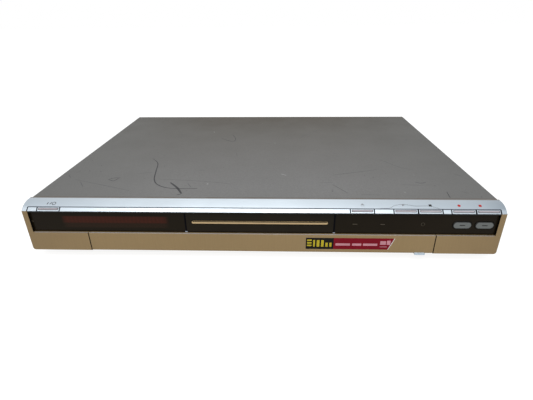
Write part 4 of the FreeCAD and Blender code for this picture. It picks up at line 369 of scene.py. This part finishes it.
def zinc(name, rgb):
    """Zinc-plated sheet with its faint spangle."""
    n = Nodes(name)
    spangle = n.remap(n.cells(160), 0.0, 0.8, 0.0, 0.22)
    n.look(n.over(n.mottled(linear(*rgb), 0.06, 14.0), spangle, (132, 132, 132)), metal=0.75)
    return n.finish(0.40, 0.10, 40.0, strength=0.05)


# Paints of the nodes, by the names of their material slots
paint = {
    "cover_paint": cover_paint(),
    "silver_plastic": silver_paint("silver_plastic", (220, 231, 240)),
    "gold_plastic": gold_paint(),
    "window_acrylic": window_paint(),
    "steel": zinc("steel", (168, 168, 166)),
    "tin_plate": zinc("tin_plate", (182, 182, 178)),
    "board_green": board("board_green", (38, 88, 50), (62, 118, 70)),
    "board_brown": board("board_brown", (138, 104, 62), (108, 78, 44)),
}
plain_paint = {
    "screw_steel": dict(rgb=(150, 150, 150), rough=0.35, metal=0.85, scale=200),
    "dark_screws": dict(rgb=(70, 70, 70), rough=0.42, metal=0.7, scale=200),
    "rubber_feet": dict(rgb=(38, 38, 38), rough=0.75),
    "tray_black": dict(rgb=(34, 29, 21), rough=0.16, strength=0.04, shine=0.06),
    "bar_gold": dict(rgb=(190, 165, 124), rough=0.34, metal=0.35, scale=40, grain=(1, 30, 30)),
    "button_grey": dict(rgb=(122, 120, 116), rough=0.40, metal=0.1),
    "black_plastic": dict(rgb=(36, 36, 36), rough=0.55),
    "display_glass": dict(rgb=(60, 44, 40), rough=0.15, coat=0.5),
    "jack_plastic": dict(rgb=(44, 44, 44), rough=0.50),
    "ferrite": dict(rgb=(64, 58, 56), rough=0.60),
    "capacitor_sleeve": dict(rgb=(34, 36, 52), rough=0.35, coat=0.3),
    "aluminium": dict(rgb=(192, 192, 192), rough=0.35, metal=0.85, scale=80, grain=(1, 20, 1)),
    "cast_aluminium": dict(rgb=(138, 138, 140), rough=0.50, metal=0.7, strength=0.3),
    "tray_plastic": dict(rgb=(44, 44, 46), rough=0.45, strength=0.18),
    "gear_plastic": dict(rgb=(222, 220, 212), rough=0.45),
    "belt_rubber": dict(rgb=(30, 30, 30), rough=0.80),
    "rod_steel": dict(rgb=(208, 208, 208), rough=0.18, metal=0.95, scale=300),
    "ribbon_grey": dict(rgb=(176, 176, 178), rough=0.50, scale=500, grain=(1, 0.02, 0.02)),
}
paint.update((name, plain(name, **look)) for name, look in plain_paint.items())

# Colours of the drawn pieces
plain_ink = {
    "ink_dark": dict(rgb=(34, 33, 32), strength=0.05),
    "ink_grey": dict(rgb=(70, 70, 75), strength=0.05),
    "ink_pale": dict(rgb=(146, 148, 152), strength=0.05),
    "ink_brown": dict(rgb=(62, 54, 42), strength=0.05),
    "ink_red": dict(rgb=(176, 40, 30), rough=0.45, strength=0.05),
    "ink_rose": dict(rgb=(200, 140, 150), rough=0.45, strength=0.05),
    "ink_yellow": dict(rgb=(184, 166, 36), rough=0.45, strength=0.05),
    "label_red": dict(rgb=(124, 14, 32), rough=0.35, amount=0.06, strength=0.04, shine=0.1),
    "label_black": dict(rgb=(20, 18, 18), rough=0.35, strength=0.04, shine=0.08),
    "label_silver": dict(rgb=(206, 204, 204), rough=0.28, metal=0.5, strength=0.04),
    "scratch_dark": dict(rgb=(56, 56, 58), rough=0.6, strength=0.3),
    "scratch_faint": dict(rgb=(84, 84, 85), rough=0.6, strength=0.3),
    "scratch_pale": dict(rgb=(168, 168, 167), rough=0.6, strength=0.3),
    "seam_dark": dict(rgb=(14, 14, 18), rough=0.8, strength=0.1, shine=0.02),
    "seam_grey": dict(rgb=(66, 70, 82), rough=0.7, strength=0.1, shine=0.1),
    # Painted shade: the dark outline round each button's raised rib
    "rib_edge": dict(rgb=(84, 80, 86), strength=0.05),
    "rib_rose": dict(rgb=(180, 174, 180), rough=0.4, metal=0.2, strength=0.05),
    # Painted reflection: the sky's bluish white on the up-facing gold ledge and at the tray's lower corners
    "ledge_silver": dict(rgb=(158, 166, 182), rough=0.35, metal=0.1, strength=0.05),
    "ring_red": dict(rgb=(178, 34, 30), rough=0.45),
    "ring_white": dict(rgb=(226, 224, 218), rough=0.45),
    "ring_yellow": dict(rgb=(216, 178, 32), rough=0.45),
    "ring_green": dict(rgb=(40, 120, 60), rough=0.45),
    "ring_blue": dict(rgb=(40, 70, 150), rough=0.45),
}
ink = {name: plain(name, **look) for name, look in plain_ink.items()}

# Each node gets the paint of its slot, and the two pill buttons share a paint of their own
slots = {s["node"]: s["material_slot"] for s in frame["record"]["subparts"]}
for name, obj in nodes.items():
    obj.data.materials.clear()
    obj.data.materials.append(paint[slots[name]])
pills = ("select_button_left", "select_button_right")
pill = pill_paint([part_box(name) for name in pills])
for name in pills:
    nodes[name].data.materials[0] = pill


def mesh_piece(name, points, faces, material, body):
    """A piece of its own from points in millimetres, which rides on a moving body or on the casing."""
    mesh = bpy.data.meshes.new(name)
    mesh.from_pydata([Vector(p) * MM for p in points], [], faces)
    mesh.materials.append(material)
    obj = bpy.data.objects.new(name, mesh)
    scene.collection.objects.link(obj)
    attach(obj, body)


def on_nose(x, degrees, lift=LIFT):
    """A point on the rounded nose, by its angle forward from straight up."""
    a = math.radians(degrees)
    return (x, NOSE_Y - (NOSE_R + lift) * math.sin(a), NOSE_Z + (NOSE_R + lift) * math.cos(a))


def on_face(x, z, lift=LIFT):
    return (x, face - lift, z)


def on_window(x, z, lift=LIFT):
    return (x, window - lift, z)


def on_top(x, y, lift=LIFT):
    return (x, y, cover_top + lift)


def upright(y):
    """The upright plane at y, as a place for drawn pieces, which stay in it whatever their lift."""
    return lambda x, z, lift=0.0: (x, y, z)


def smooth(line, steps=6):
    """More points along a line, rounded through its corners."""
    out = []
    n = len(line)
    for i in range(n - 1):
        p = [line[max(i - 1, 0)], line[i], line[i + 1], line[min(i + 2, n - 1)]]
        for k in range(steps):
            t = k / steps
            out.append(tuple(0.5 * (2 * p[1][c] + (p[2][c] - p[0][c]) * t
                                    + (2 * p[0][c] - 5 * p[1][c] + 4 * p[2][c] - p[3][c]) * t * t
                                    + (3 * p[1][c] - p[0][c] - 3 * p[2][c] + p[3][c]) * t ** 3)
                             for c in (0, 1)))
    out.append(line[-1])
    return out


def rectangle(u, v):
    """The outline of a rectangle from its two spans."""
    return [(u[0], v[0]), (u[1], v[0]), (u[1], v[1]), (u[0], v[1])]


def rounded(u, v, r, steps=5):
    """The outline of a rectangle with round corners."""
    out = []
    for cu, cv, start in ((u[1] - r, v[1] - r, 0), (u[0] + r, v[1] - r, 90),
                          (u[0] + r, v[0] + r, 180), (u[1] - r, v[0] + r, 270)):
        for k in range(steps):
            a = math.radians(start + 90 * k / (steps - 1))
            out.append((cu + r * math.cos(a), cv + r * math.sin(a)))
    return out


def disc(u, v, r, steps=20, squeeze=1.0):
    """The outline of a circle, its second measure squeezed on a surface that counts in degrees."""
    return [(u + r * math.cos(2 * math.pi * k / steps), v + r * squeeze * math.sin(2 * math.pi * k / steps))
            for k in range(steps)]


def patch(name, place, outline, material, body, lift=LIFT):
    """A flat mark with the given outline, lying on a surface."""
    points = [place(u, v, lift) for u, v in outline]
    mesh_piece(name, points, [tuple(range(len(points)))], material, body)


def ring(name, place, u, v, r, width, material, body, squeeze=1.0):
    """A flat ring of the given outer radius and width."""
    steps = 24
    inner, outer = disc(u, v, r - width, steps, squeeze), disc(u, v, r, steps, squeeze)
    points = [place(*p) for p in inner + outer]
    faces = [(k, (k + 1) % steps, steps + (k + 1) % steps, steps + k) for k in range(steps)]
    mesh_piece(name, points, faces, material, body)


def ribbon(name, place, line, width, material, body):
    """A thin drawn line that narrows to its ends. line holds the surface's own two coordinates, in order."""
    end_share = 0.6
    scale = math.radians(1) * NOSE_R if place is on_nose else 1.0
    points, faces = [], []
    for i, (u, v) in enumerate(line):
        a = line[max(i - 1, 0)]
        b = line[min(i + 1, len(line) - 1)]
        du, dv = b[0] - a[0], (b[1] - a[1]) * scale
        size = math.hypot(du, dv) or 1.0
        bulge = math.sin(math.pi * i / max(len(line) - 1, 1))
        w = width / 2 * (end_share + (1 - end_share) * bulge)
        points.append(place(u - dv / size * w, v + du / size * w / scale))
        points.append(place(u + dv / size * w, v - du / size * w / scale))
        if i:
            k = 2 * i
            faces.append((k - 2, k - 1, k + 1, k))
    mesh_piece(name, points, faces, material, body)


def band(name, x, low, high, material, body, lift=LIFT_BAND):
    """A strip across the nose between two angles, in steps short enough to follow the curve."""
    steps = max(1, math.ceil((high - low) / 2))
    points, faces = [], []
    for k in range(steps + 1):
        angle = low + (high - low) * k / steps
        points += [on_nose(x[0], angle, lift), on_nose(x[1], angle, lift)]
        if k:
            faces.append((2 * k - 2, 2 * k - 1, 2 * k + 1, 2 * k))
    mesh_piece(name, points, faces, material, body)


def around(middle, half):
    """The two ends of a span, from its middle and its half width."""
    return (middle - half, middle + half)


# Dark seams round the strip and its buttons, and each button's rib with its painted-shade outline: how far
# in, between which angles
NOSE_BUTTONS = ("power_button", "open_close_button", "play_button", "stop_button", "rec_button",
                "rec_stop_button")
RIBS = (
    ("rib_edge", 1.0, (37.2, 43.8), LIFT_RIB_SHADE, "rib_edge"),
    ("rib", 1.5, (39.0, 42.2), LIFT_RIB, "rib_rose"),
)
SEAM_HALF, SEAM_OUT, SEAM_BELOW, END_SEAM_HALF = 0.5, 0.25, 0.4, 0.4
STRIP_SEAM = (STRIP - 1.0, STRIP + 1.6)
band("seam_strip", (window_end, -window_end), *STRIP_SEAM, ink["seam_grey"], "casing")
for side in (-1, 1):
    band("seam_end_%d" % (side > 0), around(side * -window_end, END_SEAM_HALF), STRIP, LIP + SEAM_BELOW,
         ink["seam_dark"], "casing")
for name in NOSE_BUTTONS:
    x0, x1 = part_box(name)[0][0] / MM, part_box(name)[1][0] / MM
    for i, x in enumerate((x0 - SEAM_OUT, x1 + SEAM_OUT)):
        band("seam_%s_%d" % (name, i), around(x, SEAM_HALF), STRIP, LIP + SEAM_BELOW, ink["seam_dark"],
             "casing")
    for kind, inset, angles, lift, tone in RIBS:
        band("%s_%s" % (kind, name), (x0 + inset, x1 - inset), *angles, ink[tone], name, lift)

# Dark seams beside the flap and the tray's front, and a painted shadow in the gap over the bar in it
SEAM_FLAP = (0.1, 0.9)
SEAM_TRAY_HALF, GLINT_HALF, GLINT_Z, GLINT_ROUND = 0.7, 1.1, (27.7, 28.7), 0.4
BAR_ROUND, SHADOW_OVER_BAR = 1.0, 0.75
for side in (-1, 1):
    flap_end = [side * (FLAP_HALF + out) for out in SEAM_FLAP]
    seam = rectangle(flap_end, (FLAP_LOW, FLAP_HIGH))
    patch("seam_flap_%d" % (side > 0), on_face, seam, ink["seam_dark"], "casing")
    tray_end = side * TRAY_HALF
    seam = rectangle(around(tray_end, SEAM_TRAY_HALF), (WINDOW_LOW, WINDOW_HIGH))
    patch("seam_tray_%d" % (side > 0), on_window, seam, ink["seam_dark"], "casing", LIFT_SECOND)
    # Painted highlight: a bright glint at each lower corner of the tray's front.
    glint = rounded(around(tray_end, GLINT_HALF), GLINT_Z, GLINT_ROUND)
    patch("glint_tray_%d" % (side > 0), on_window, glint, ink["ledge_silver"], "casing", LIFT_GLINT)
patch("shadow_over_bar", on_window, rectangle(around(0.0, bar_half - BAR_ROUND), (bar_top - SHADOW_OVER_BAR, bar_top)),
      ink["seam_dark"], "tray_unit", LIFT_BAR)

# The bright ledge under the windows, its bluish white a painted reflection of the sky on the up-facing gold:
# on the flap in the middle, on the casing at both ends
LEDGE_SLOPE, LEDGE_DEPTH = 0.2, 0.7
ON_FLAP, BESIDE_FLAP, LEDGE_END = FLAP_HALF - 0.2, FLAP_HALF + 0.8, -window_end - 1
ledges = (
    ("ledge_flap", (-ON_FLAP, ON_FLAP), "front_flap"),
    ("ledge_left", (-LEDGE_END, -BESIDE_FLAP), "casing"),
    ("ledge_right", (BESIDE_FLAP, LEDGE_END), "casing"),
)
for name, (x0, x1), body in ledges:
    points = [(x0, face - LIFT, LEDGE_LOW), (x1, face - LIFT, LEDGE_LOW),
              (x1, face + LEDGE_SLOPE, LEDGE_HIGH), (x0, face + LEDGE_SLOPE, LEDGE_HIGH),
              (x1, face + LEDGE_DEPTH, LEDGE_HIGH), (x0, face + LEDGE_DEPTH, LEDGE_HIGH)]
    mesh_piece(name, points, [(0, 1, 2, 3), (3, 2, 4, 5)], ink["ledge_silver"], body)

# Generic pictograms on the nose above the buttons: x in millimetres, then degrees on the nose
ARC = 1 / (math.radians(1) * NOSE_R)
MARK_LOW, MARK_HIGH, MARK_MIDDLE = 17.0, 25.4, 21.2
POWER_X, POWER_R, POWER_LINE = -187.2, 1.9, 0.6
EJECT_X, EJECT_TIP, EJECT_FOOT, EJECT_BAR, EJECT_LINE = (89.7, 93.1), 14.0, 20.5, 23.8, 0.5
PLAY_X, PLAY_LOW, PLAY_HIGH = (126.0, 128.6), 15.5, 24.1
STOP_X, STOP_TALL, SQUARE_ROUND = (149.2, 151.7), (17.0, 24.6), 0.2
RECORD_STOP_X, RECORD_STOP_TALL = (192.3, 194.8), (17.2, 24.8)
RECORD_X, RECORD_MIDDLE, RECORD_R = 175.4, 20.9, 1.35
ring("mark_power_ring", on_nose, POWER_X, MARK_MIDDLE, POWER_R, POWER_LINE, ink["ink_grey"], "casing", ARC)
strokes = (("mark_power_bar", -192.8, -193.2, 0.9), ("mark_power_slash", -189.6, -190.8, 0.8))
for name, foot, head, width in strokes:
    ribbon(name, on_nose, smooth([(foot, MARK_LOW), (head, MARK_HIGH)], 4), width, ink["ink_grey"], "casing")
eject = [(EJECT_X[0], EJECT_FOOT), (EJECT_X[1], EJECT_FOOT), (sum(EJECT_X) / 2, EJECT_TIP)]
patch("mark_eject", on_nose, eject, ink["ink_pale"], "casing", LIFT_THIRD)
eject_bar = [(x, EJECT_BAR) for x in EJECT_X]
ribbon("mark_eject_bar", on_nose, eject_bar, EJECT_LINE, ink["ink_pale"], "casing")
play = [(PLAY_X[0], PLAY_LOW), (PLAY_X[1], (PLAY_LOW + PLAY_HIGH) / 2), (PLAY_X[0], PLAY_HIGH)]
pictograms = (
    ("mark_play", play, "ink_pale"),
    ("mark_stop", rounded(STOP_X, STOP_TALL, SQUARE_ROUND), "ink_dark"),
    ("mark_record", disc(RECORD_X, RECORD_MIDDLE, RECORD_R, squeeze=ARC), "ink_red"),
    ("mark_record_stop", rounded(RECORD_STOP_X, RECORD_STOP_TALL, SQUARE_ROUND), "ink_red"),
)
for name, outline, tone in pictograms:
    patch(name, on_nose, outline, ink[tone], "casing", LIFT_THIRD)

# Each pill button carries a short plain dash
DASH_LONG, DASH_HIGH, DASH_ROUND = 2.4, 0.5, 0.3
for name in pills:
    low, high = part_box(name)
    x, z = (low[0] + high[0]) / 2 / MM, (low[2] + high[2]) / 2 / MM
    dash = rounded(around(x, DASH_LONG), around(z, DASH_HIGH), DASH_ROUND)
    patch("dash_" + name, upright(low[1] / MM - LIFT), dash, ink["ink_dark"], name)

# Small lamps and the sensor's circle behind the right window, and a dot behind the left one
LAMP_Z, LAMP_ROUND = (36.9, 37.7), 0.35
for name, x in (("lamp_left", (83.4, 87.8)), ("lamp_right", (108.0, 112.0))):
    patch(name, on_window, rounded(x, LAMP_Z, LAMP_ROUND), ink["ink_brown"], "casing")
circles = (("sensor_ring", 145.5, 37.7, 1.7, 0.3), ("window_dot", -209.0, 38.0, 0.9, 0.4))
for name, x, z, r, width in circles:
    ring(name, on_window, x, z, r, width, ink["ink_brown"], "casing")

# A plain promotional label on the flap, in generic blocks with no words
LABEL_LOW, LABEL_HIGH, LABEL_SLANT = 12.3, 24.2, 4.9
LABEL_LEFT, RED_LEFT, BACKING_LEFT, RED_RIGHT, LABEL_RIGHT = 42.2, 67.4, 110.0, 116.8, 117.4
SMALL_BLOCKS, SMALL_BLOCK_HIGH, TALL_BLOCK, SHORT_BLOCK = (15.3, 18.0, 20.8), 1.6, (14.7, 21.9), (14.7, 19.2)
WORD_LINE, BLOCK_ROUND, LINE_ROUND = (16.2, 18.6), 0.5, 0.25
fields = (
    ("label_backing", BACKING_LEFT, LABEL_RIGHT, "label_silver", LIFT),
    ("label_red", RED_LEFT, RED_RIGHT, "label_red", LIFT_SECOND),
)
for name, left, right, tone, lift in fields:
    slanted = [(left, LABEL_LOW), (right, LABEL_LOW), (right + LABEL_SLANT, LABEL_HIGH), (left, LABEL_HIGH)]
    patch(name, on_face, slanted, ink[tone], "front_flap", lift)
black = rectangle((LABEL_LEFT, RED_LEFT), (LABEL_LOW, LABEL_HIGH))
patch("label_black", on_face, black, ink["label_black"], "front_flap", LIFT_SECOND)
blocks = [((43.3, 47.5), (z, z + SMALL_BLOCK_HIGH)) for z in SMALL_BLOCKS]
blocks += [(x, TALL_BLOCK) for x in ((48.9, 50.5), (52.1, 54.6), (56.1, 58.5))]
blocks += [(x, SHORT_BLOCK) for x in ((60.1, 62.2), (63.6, 65.7))]
for i, (x, z) in enumerate(blocks):
    patch("label_block_%d" % i, on_face, rounded(x, z, BLOCK_ROUND), ink["ink_yellow"], "front_flap",
          LIFT_THIRD)
lines = [(x, WORD_LINE) for x in ((69.2, 82.4), (84.2, 92.6), (94.1, 107.1))]
lines += [((109.4, 114.6), (17.4, 21.3)), ((115.4, 118.6), (17.4, 21.9)), ((109.4, 115.9), (14.9, 15.5))]
for i, (x, z) in enumerate(lines):
    patch("label_line_%d" % i, on_face, rounded(x, z, LINE_ROUND), ink["ink_rose"], "front_flap", LIFT_THIRD)


def socket_ring(name, x, z, y, tone):
    """A coloured ring round one socket, in the upright plane at y."""
    ring(name, upright(y), x, z, SOCKET_R, SOCKET_RIM, ink["ring_" + tone], "casing")


# Coloured rings on the round sockets, behind the flap and on the back
for i, tone in enumerate(("yellow", "white", "red")):
    socket_ring("ring_front_%d" % i, FRONT_SOCKETS[i], FRONT_SOCKET_Z, front_sockets_end - LIFT, tone)
for i, tones in enumerate((("yellow", "yellow"), ("white", "white"), ("red", "red"), ("green", "blue"))):
    for row, tone in enumerate(tones):
        socket_ring("ring_back_%d_%d" % (i, row), BACK_SOCKETS[i], BACK_SOCKET_ROWS[row],
                    back_sockets_end + LIFT, tone)

# Wear on the cover, each scratch with its width, its tone and its way in x and y
marks = (
    (1.3, "dark", [(-131, -41), (-121, -56), (-116, -80), (-111, -103), (-103, -117), (-88, -125),
                   (-62, -125)]),
    (2.4, "dark", [(-92, -111), (-82, -124), (-75, -137)]),
    (1.0, "dark", [(-75, -138), (-79, -140)]),
    (0.9, "dark", [(-159, -104), (-155, -100), (-148, -99)]),
    (0.9, "dark", [(-158, -104), (-152, -107), (-149, -100)]),
    (0.6, "faint", [(-194, -104), (-156, -119), (-127, -131)]),
    (0.7, "faint", [(-185, -110), (-177, -122)]),
    (1.2, "faint", [(-206, -92), (-201, -99)]),
    (0.5, "faint", [(-107, -102), (-63, -107), (-32, -113)]),
    (0.5, "faint", [(-133, -87), (-119, -84)]),
    (0.5, "faint", [(-71, -77), (-63, -77)]),
    (0.6, "faint", [(-74, -113), (-69, -122)]),
    (0.5, "faint", [(137, -113), (150, -115), (167, -114)]),
    (0.5, "faint", [(58, -110), (71, -109)]),
    (0.5, "faint", [(94, -137), (111, -138)]),
    (0.6, "faint", [(76, 84), (56, 59), (43, 38)]),
    (0.8, "faint", [(73, -90), (98, -82), (122, -74)]),
    (0.7, "faint", [(132, -42), (149, -67), (160, -74)]),
    (1.6, "faint", [(153, -107), (157, -110), (163, -108)]),
    (0.8, "dark", [(175, -130), (173, -144)]),
    (0.9, "faint", [(199, -85), (205, -92)]),
    (0.8, "faint", [(189, -129), (194, -133)]),
    (0.7, "faint", [(70, -114), (76, -124), (82, -134)]),
    (1.0, "dark", [(-48, 57), (-42, 38), (-44, 26), (-52, 31), (-62, 41)]),
    (0.9, "pale", [(19, -87), (25, -91)]),
)
for i, (width, tone, line) in enumerate(marks):
    ribbon("mark_cover_%02d" % i, on_top, smooth(line), width, ink["scratch_" + tone], "casing")

# Dark dots and pale specks on the cover
DOT_R, SPECK_R, DOT_STEPS = (0.5, 0.8), 0.8, 8
dots = ((-201, -47), (-200, -81), (-189, -80), (-183, -64), (-176, -82), (85, -86), (169, -116), (68, -130),
        (202, -141), (-167, 60), (-195, 132))
specks = ((-54, -114), (-76, 70))
for i, (x, y) in enumerate(dots):
    patch("dot_%02d" % i, on_top, disc(x, y, rng.uniform(*DOT_R), DOT_STEPS), ink["scratch_dark"], "casing")
for i, (x, y) in enumerate(specks):
    patch("speck_%02d" % i, on_top, disc(x, y, SPECK_R, DOT_STEPS), ink["scratch_pale"], "casing")

# Short scuffs, left out where they would run over the cover's edge
SCUFFS, SCUFF_X, SCUFF_Y = 18, (-205, 205), (-135, 145)
SCUFF_LONG, SCUFF_BEND, SCUFF_WIDE = (2, 13), (-2, 2), (0.25, 0.5)
CLEAR_X, CLEAR_Y = 210, (-144, 154)
for i in range(SCUFFS):
    x, y = rng.uniform(*SCUFF_X), rng.uniform(*SCUFF_Y)
    turn, size = rng.uniform(0, math.pi), rng.uniform(*SCUFF_LONG)
    bend = rng.uniform(*SCUFF_BEND)
    line = smooth([(x, y), (x + math.cos(turn) * size / 2 + bend, y + math.sin(turn) * size / 2),
                   (x + math.cos(turn) * size, y + math.sin(turn) * size + bend)], 4)
    if all(abs(u) < CLEAR_X and CLEAR_Y[0] < v < CLEAR_Y[1] for u, v in line):
        ribbon("scuff_%02d" % i, on_top, line, rng.uniform(*SCUFF_WIDE), ink["scratch_faint"], "casing")

# A fine crack line on the nose
CRACK_WIDE = 0.28
crack = smooth([(106.8, 31.5), (115.0, 30.5), (118.9, 22.8), (127.1, 16.8), (137.1, 23.1), (148.4, 22.8),
                (155.7, 29.6), (158.0, 32.2)])
ribbon("crack_nose", on_nose, crack, CRACK_WIDE, ink["ink_grey"], "casing")

# The studio, in metres: a pale floor, an even sky, two soft lamps and the photograph's camera
FLOOR_HALF, FLOOR_DROP, FLOOR_GREY, FLOOR_GLOW = 6, 0.0002, 0.30, 0.86
SKY_COLOUR, SKY_STRENGTH = (0.93, 0.97, 1.0, 1), 0.56
LAMPS = (
    ("key", (-0.15, -0.9, 1.5), (0, 0, 0), (1.4, 1.0), 12, (1.0, 0.99, 0.97)),
    ("front", (0.2, -1.7, 0.7), (0, -0.1, 0.03), (1.6, 0.7), 8, (1.0, 0.98, 0.95)),
)
CAMERA_PLACE_MM, YAW, PITCH, ROLL = (18.7, -464.85, 209.0), -2.28, 26.03, -0.68
FOCAL_PIXELS, PHOTO_WIDTH_PIXELS, SENSOR_WIDTH = 385.8, 533, 36


def seen_directly(tree):
    """1 for rays that come from the camera, a reflection or a clear piece, else 0."""
    path = tree.nodes.new("ShaderNodeLightPath")
    seen = path.outputs["Is Camera Ray"]
    for kind in ("Is Glossy Ray", "Is Transmission Ray"):
        add = tree.nodes.new("ShaderNodeMath")
        add.operation = "ADD"
        add.use_clamp = True
        tree.links.new(seen, add.inputs[0])
        tree.links.new(path.outputs[kind], add.inputs[1])
        seen = add.outputs[0]
    return seen


def studio_floor():
    """A pale floor that takes shadows, and glows only for rays that see it directly."""
    n = Nodes("studio_floor")
    diffuse = n.add("ShaderNodeBsdfDiffuse")
    diffuse.inputs[0].default_value = (FLOOR_GREY, FLOOR_GREY, FLOOR_GREY, 1)
    glow = n.add("ShaderNodeEmission")
    n.link(n.times(seen_directly(n.tree), FLOOR_GLOW), glow.inputs["Strength"])
    both = n.add("ShaderNodeAddShader")
    n.link(diffuse.outputs[0], both.inputs[0])
    n.link(glow.outputs[0], both.inputs[1])
    n.link(both.outputs[0], n.out.inputs[0])
    return n.mat


def studio_world():
    """A soft sky that lights the object, and plain white for rays that see it directly."""
    world = bpy.data.worlds.new("studio")
    world.use_nodes = True
    tree = world.node_tree
    tree.nodes.clear()
    sky = tree.nodes.new("ShaderNodeBackground")
    sky.inputs[0].default_value = SKY_COLOUR
    sky.inputs[1].default_value = SKY_STRENGTH
    shown = tree.nodes.new("ShaderNodeBackground")
    shown.inputs[0].default_value = (1, 1, 1, 1)
    shown.inputs[1].default_value = 1.0
    pick = tree.nodes.new("ShaderNodeMixShader")
    out = tree.nodes.new("ShaderNodeOutputWorld")
    tree.links.new(seen_directly(tree), pick.inputs[0])
    tree.links.new(sky.outputs[0], pick.inputs[1])
    tree.links.new(shown.outputs[0], pick.inputs[2])
    tree.links.new(pick.outputs[0], out.inputs[0])
    return world


def lamp(name, place, aim, size, power, colour):
    """A soft rectangular lamp at a place, turned toward its aim."""
    light = bpy.data.lights.new(name, "AREA")
    light.shape = "RECTANGLE"
    light.size, light.size_y = size
    light.energy = power
    light.color = colour
    obj = bpy.data.objects.new(name, light)
    obj.location = place
    obj.rotation_euler = (Vector(aim) - Vector(place)).to_track_quat("-Z", "Y").to_euler()
    scene.collection.objects.link(obj)


def photo_camera():
    """The camera that was fitted to the corners of the cover and the front in the photograph."""
    yaw, pitch, roll = math.radians(YAW), math.radians(PITCH), math.radians(ROLL)
    ahead = Vector((math.sin(yaw) * math.cos(pitch), math.cos(yaw) * math.cos(pitch), -math.sin(pitch)))
    right = Vector((math.cos(yaw), -math.sin(yaw), 0))
    up = right.cross(ahead)
    across = math.cos(roll) * right + math.sin(roll) * up
    upward = -math.sin(roll) * right + math.cos(roll) * up
    lens = bpy.data.cameras.new("camera")
    lens.sensor_width = SENSOR_WIDTH
    lens.sensor_fit = "HORIZONTAL"
    lens.lens = FOCAL_PIXELS / PHOTO_WIDTH_PIXELS * SENSOR_WIDTH
    lens.clip_start = 0.01
    camera = bpy.data.objects.new("camera", lens)
    turned = Matrix((across, upward, -ahead)).transposed().to_4x4()
    camera.matrix_world = Matrix.Translation(Vector(CAMERA_PLACE_MM) * MM) @ turned
    scene.collection.objects.link(camera)
    return camera


ground = bpy.data.meshes.new("floor")
corners = [(x, y, 0) for x, y in rectangle(around(0, FLOOR_HALF), around(0, FLOOR_HALF))]
ground.from_pydata(corners, [], [tuple(range(len(corners)))])
ground.materials.append(studio_floor())
floor = bpy.data.objects.new("floor", ground)
floor.location.z = -FLOOR_DROP
scene.collection.objects.link(floor)

scene.world = studio_world()
for settings in LAMPS:
    lamp(*settings)
scene.camera = photo_camera()
